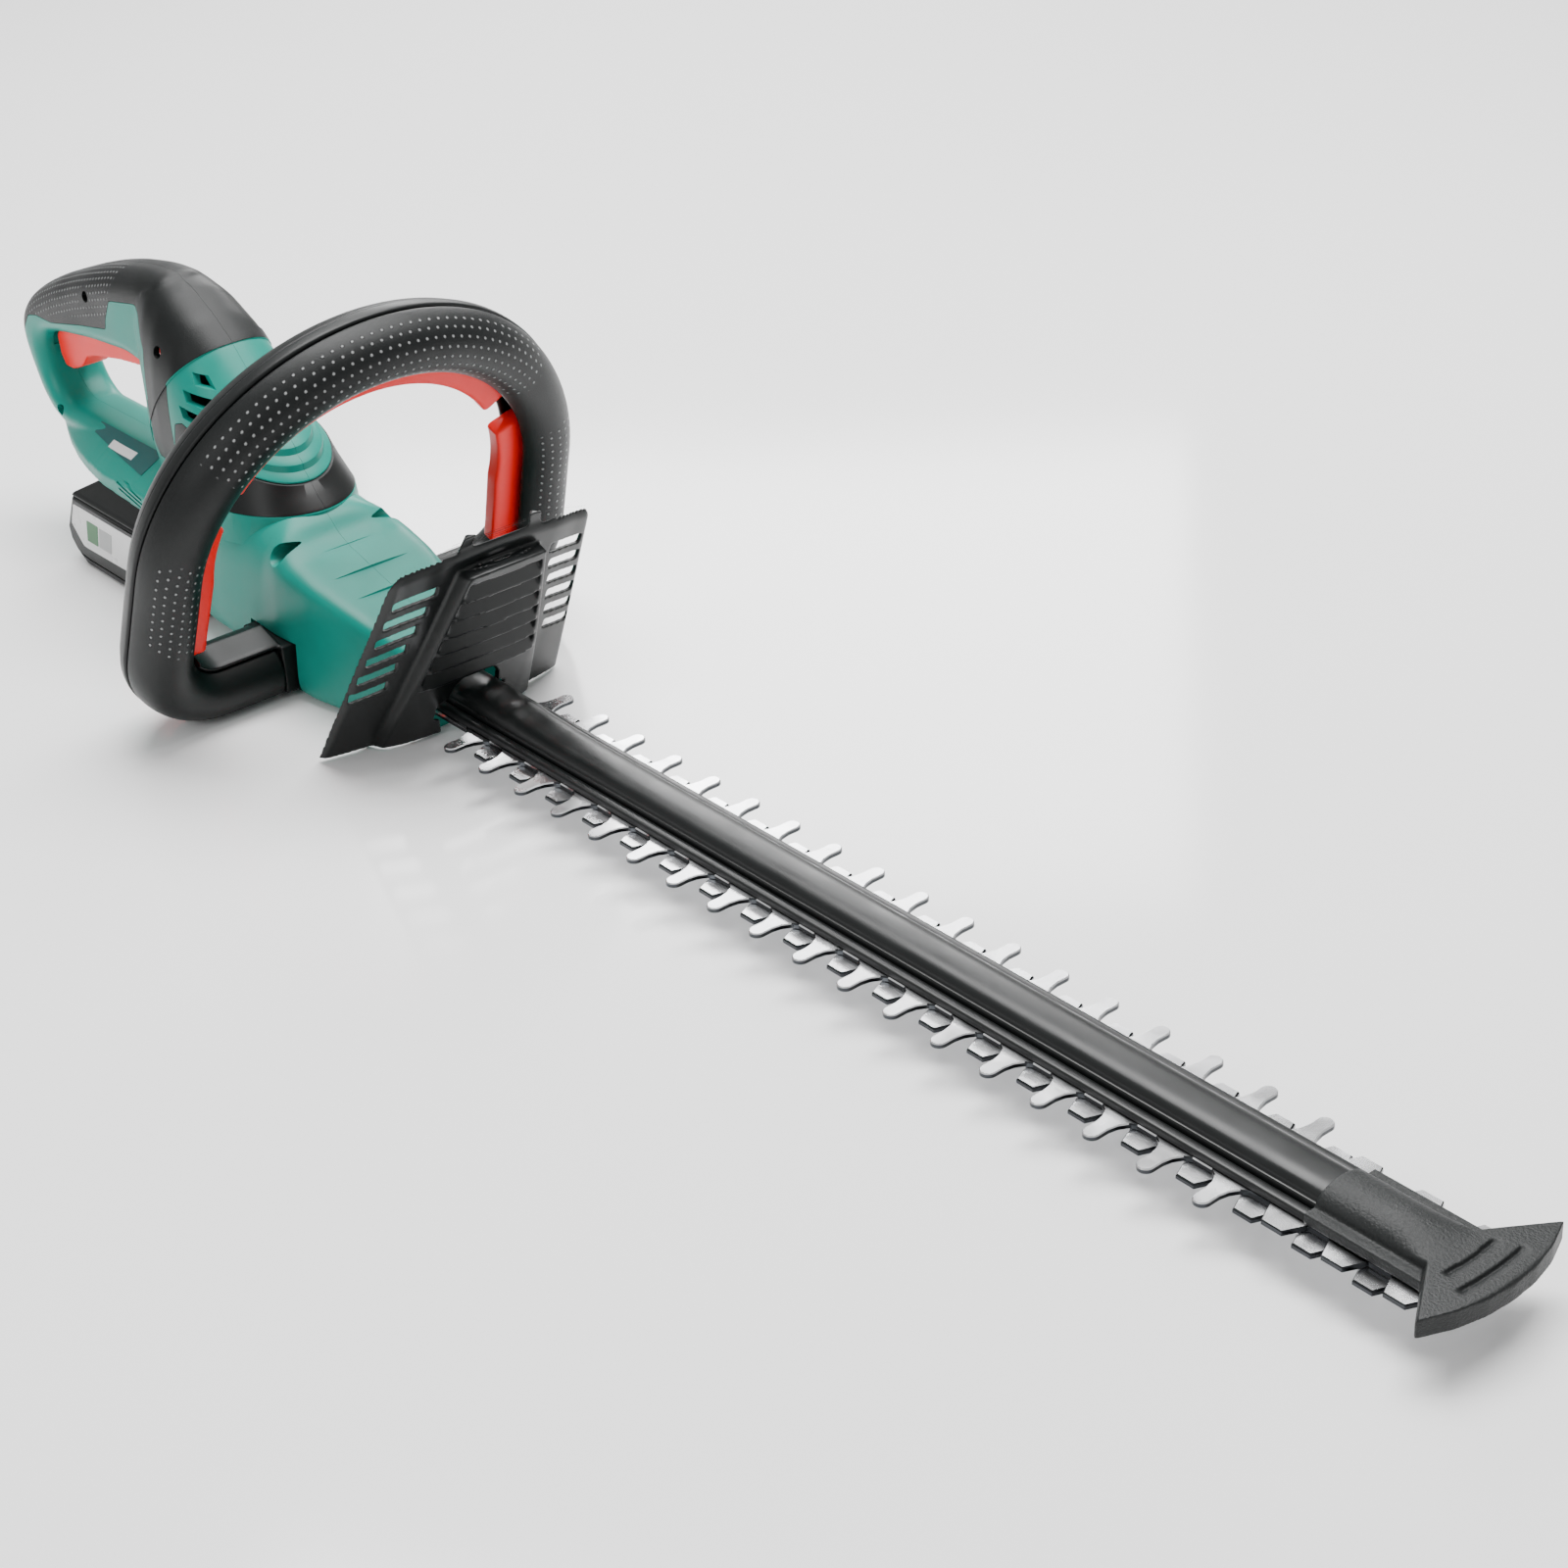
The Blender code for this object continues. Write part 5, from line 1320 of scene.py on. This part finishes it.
def make_materials():
    groups = {"moulding": moulding_group(), "dots": dots_group(), "brushed": brushed_group()}
    dark = (0.0050, 0.0062, 0.0062)
    flat = BLACK_SPECULAR
    return {
        "teal": plastic("teal_plastic", groups, (0.0, 0.225, 0.175), (0.0, 0.25, 0.195), 0.36, specular=0.3),
        "black": plastic("black_plastic", groups, BLACK, dark, 0.38, specular=flat),
        "guard_black": plastic("guard_plastic", groups, BLACK, dark, 0.34, strength=0.06, specular=flat),
        "rail_black": plastic("rail_plastic", groups, (0.0025, 0.0035, 0.0035), BLACK, 0.33, strength=0.02,
                              specular=0.42),
        "bumper": plastic("bumper_plastic", groups, (0.006, 0.0075, 0.0075), (0.010, 0.0115, 0.0115), 0.44,
                          grain=900.0, strength=0.9, specular=flat),
        "red": plastic("red_plastic", groups, (0.95, 0.0, 0.0), (1.0, 0.002, 0.0), 0.32, strength=0.03,
                       specular=0.3),
        "grey": plastic("grey_plastic", groups, (0.2, 0.2, 0.205), (0.24, 0.24, 0.245), 0.4),
        "label": plastic("label_film", groups, (0.72, 0.72, 0.72), (0.76, 0.76, 0.76), 0.3, strength=0.02),
        "plate": plastic("plate_film", groups, (0.0, 0.075, 0.075), (0.0, 0.085, 0.085), 0.35, strength=0.03),
        "cell": plastic("cell_wrap", groups, (0.05, 0.2, 0.45), (0.06, 0.22, 0.48), 0.3, strength=0.03),
        "board": plastic("circuit_board", groups, (0.02, 0.12, 0.04), (0.03, 0.14, 0.05), 0.4),
        "soft_grip": dimpled_rubber("soft_grip", groups, 4.4, 0.82),
        "grip": dimpled_rubber("grip_cover", groups, 3.3, 0.72, "grip_mm"),
        "badge": plastic("badge_film", groups, (0.0, 0.13, 0.02), (0.0, 0.15, 0.025), 0.35, strength=0.02),
        "pale_film": plastic("pale_film", groups, (0.36, 0.37, 0.37), (0.4, 0.41, 0.41), 0.35, strength=0.02),
        "blade": steel(groups),
        "dark_steel": inner_metal("dark_steel", groups, (0.2, 0.2, 0.21), 0.4),
        "aluminium": inner_metal("cast_aluminium", groups, (0.55, 0.55, 0.55), 0.45),
        "copper": inner_metal("copper_winding", groups, (0.6, 0.24, 0.1), 0.35),
        "bronze": inner_metal("bronze_bush", groups, (0.6, 0.42, 0.14), 0.35),
    }


SLOT_FINISH = {
    "teal_plastic": "teal", "black_plastic": "black", "soft_grip": "soft_grip", "bumper_plastic": "bumper",
    "red_plastic": "red", "blade_steel": "blade", "dark_steel": "dark_steel", "cast_aluminium": "aluminium",
    "copper_winding": "copper", "bronze_bush": "bronze", "circuit_board": "board", "grey_plastic": "grey",
    "cell_wrap": "cell",
}


def paint_nodes(mats):
    """The CAD nodes that stay get the finish of their record slot."""
    for entry in frame["record"]["subparts"]:
        obj = frame["nodes"][entry["node"]]
        obj.data.materials.clear()
        obj.data.materials.append(mats[SLOT_FINISH[entry["material_slot"]]])


# ---------------------------------------------------------------- floor, light and camera

def stage_material():
    mat, tree, shader = new_material("studio_floor", (0.96, 0.96, 0.96), 0.12, specular=0.3)
    place = node(tree, "ShaderNodeTexCoord").outputs["Object"]
    tree.links.new(ramp(tree, noise(tree, place, 3.0), 0.3, 0.7, 0.1, 0.13), shader.inputs["Roughness"])
    return mat


def make_floor():
    """A floor that curves up into a backdrop far behind the tool."""
    bend = arc((4.0, 2.0), (2.0, 2.0), 270.0, 360.0, 24)
    run = np.concatenate([[(-6.0, 0.0)], [(4.0, 0.0)], bend, [(6.0, 6.0)]])
    side = np.linspace(-8.0, 8.0, 3)
    direction = np.array([-math.sin(CAMERA_TURN), math.cos(CAMERA_TURN)])
    across = np.array([direction[1], -direction[0]])
    flat = run[:, None, :1] * direction + side[None, :, None] * across
    points = np.concatenate([flat, np.broadcast_to(run[:, None, 1:], (len(run), 3, 1))], axis=-1)
    mesh = bpy.data.meshes.new("floor")
    mesh.from_pydata(points.reshape(-1, 3).tolist(), [], grid_faces(len(run), 3, wrap_columns=False).tolist())
    mesh.shade_smooth()
    mesh.materials.append(stage_material())
    floor = bpy.data.objects.new("floor", mesh)
    bpy.context.scene.collection.objects.link(floor)


CAMERA_PLACE = (0.9261, -0.6433, 0.6486)
CAMERA_TURN = math.radians(51.56)      # heading, from +Y towards -X
CAMERA_DROP = math.radians(29.53)
CAMERA_ROLL = math.radians(-3.2)
LENS = 70.23


def make_camera():
    camera = bpy.data.cameras.new("camera")
    camera.lens = LENS
    camera.sensor_width = 36.0
    camera.clip_start = 0.01
    obj = bpy.data.objects.new("camera", camera)
    turn = Matrix.Rotation(CAMERA_TURN, 4, "Z")
    tilt = Matrix.Rotation(math.radians(90.0) - CAMERA_DROP, 4, "X")
    roll = Matrix.Rotation(CAMERA_ROLL, 4, "Z")
    obj.matrix_world = Matrix.Translation(CAMERA_PLACE) @ turn @ tilt @ roll
    bpy.context.scene.collection.objects.link(obj)
    bpy.context.scene.camera = obj


def area_light(name, place, target, size, power):
    light = bpy.data.lights.new(name, "AREA")
    light.shape = "RECTANGLE"
    light.size, light.size_y = size
    light.energy = power
    obj = bpy.data.objects.new(name, light)
    aim = Vector(target) - Vector(place)
    obj.matrix_world = Matrix.Translation(place) @ aim.to_track_quat("-Z", "Y").to_matrix().to_4x4()
    bpy.context.scene.collection.objects.link(obj)


def make_lights():
    world_light = bpy.data.worlds.new("studio")
    world_light.use_nodes = True
    background = world_light.node_tree.nodes["Background"]
    background.inputs["Color"].default_value = (1.0, 1.0, 1.0, 1.0)
    background.inputs["Strength"].default_value = 0.6
    bpy.context.scene.world = world_light
    area_light("top_light", (-0.3, 0.5, 1.9), (0.0, 0.0, 0.0), (2.0, 1.2), 90.0)
    area_light("near_light", (0.3, -1.6, 1.1), (-0.1, 0.0, 0.05), (0.9, 0.5), 8.0)
    area_light("rim_light", (-1.4, 1.2, 0.9), (-0.1, 0.0, 0.1), (0.9, 0.5), 16.0)


# ---------------------------------------------------------------- assembly

make_camera()
make_lights()
make_floor()
MATS = make_materials()
paint_nodes(MATS)
make_housing(MATS)
make_loop(MATS)
make_bars(MATS)
make_guard(MATS)
make_blades(MATS)
make_rail(MATS)
make_tip_guard(MATS)
make_trigger(MATS)
make_inserts(MATS)
make_battery(MATS)
make_rating_plates(MATS)
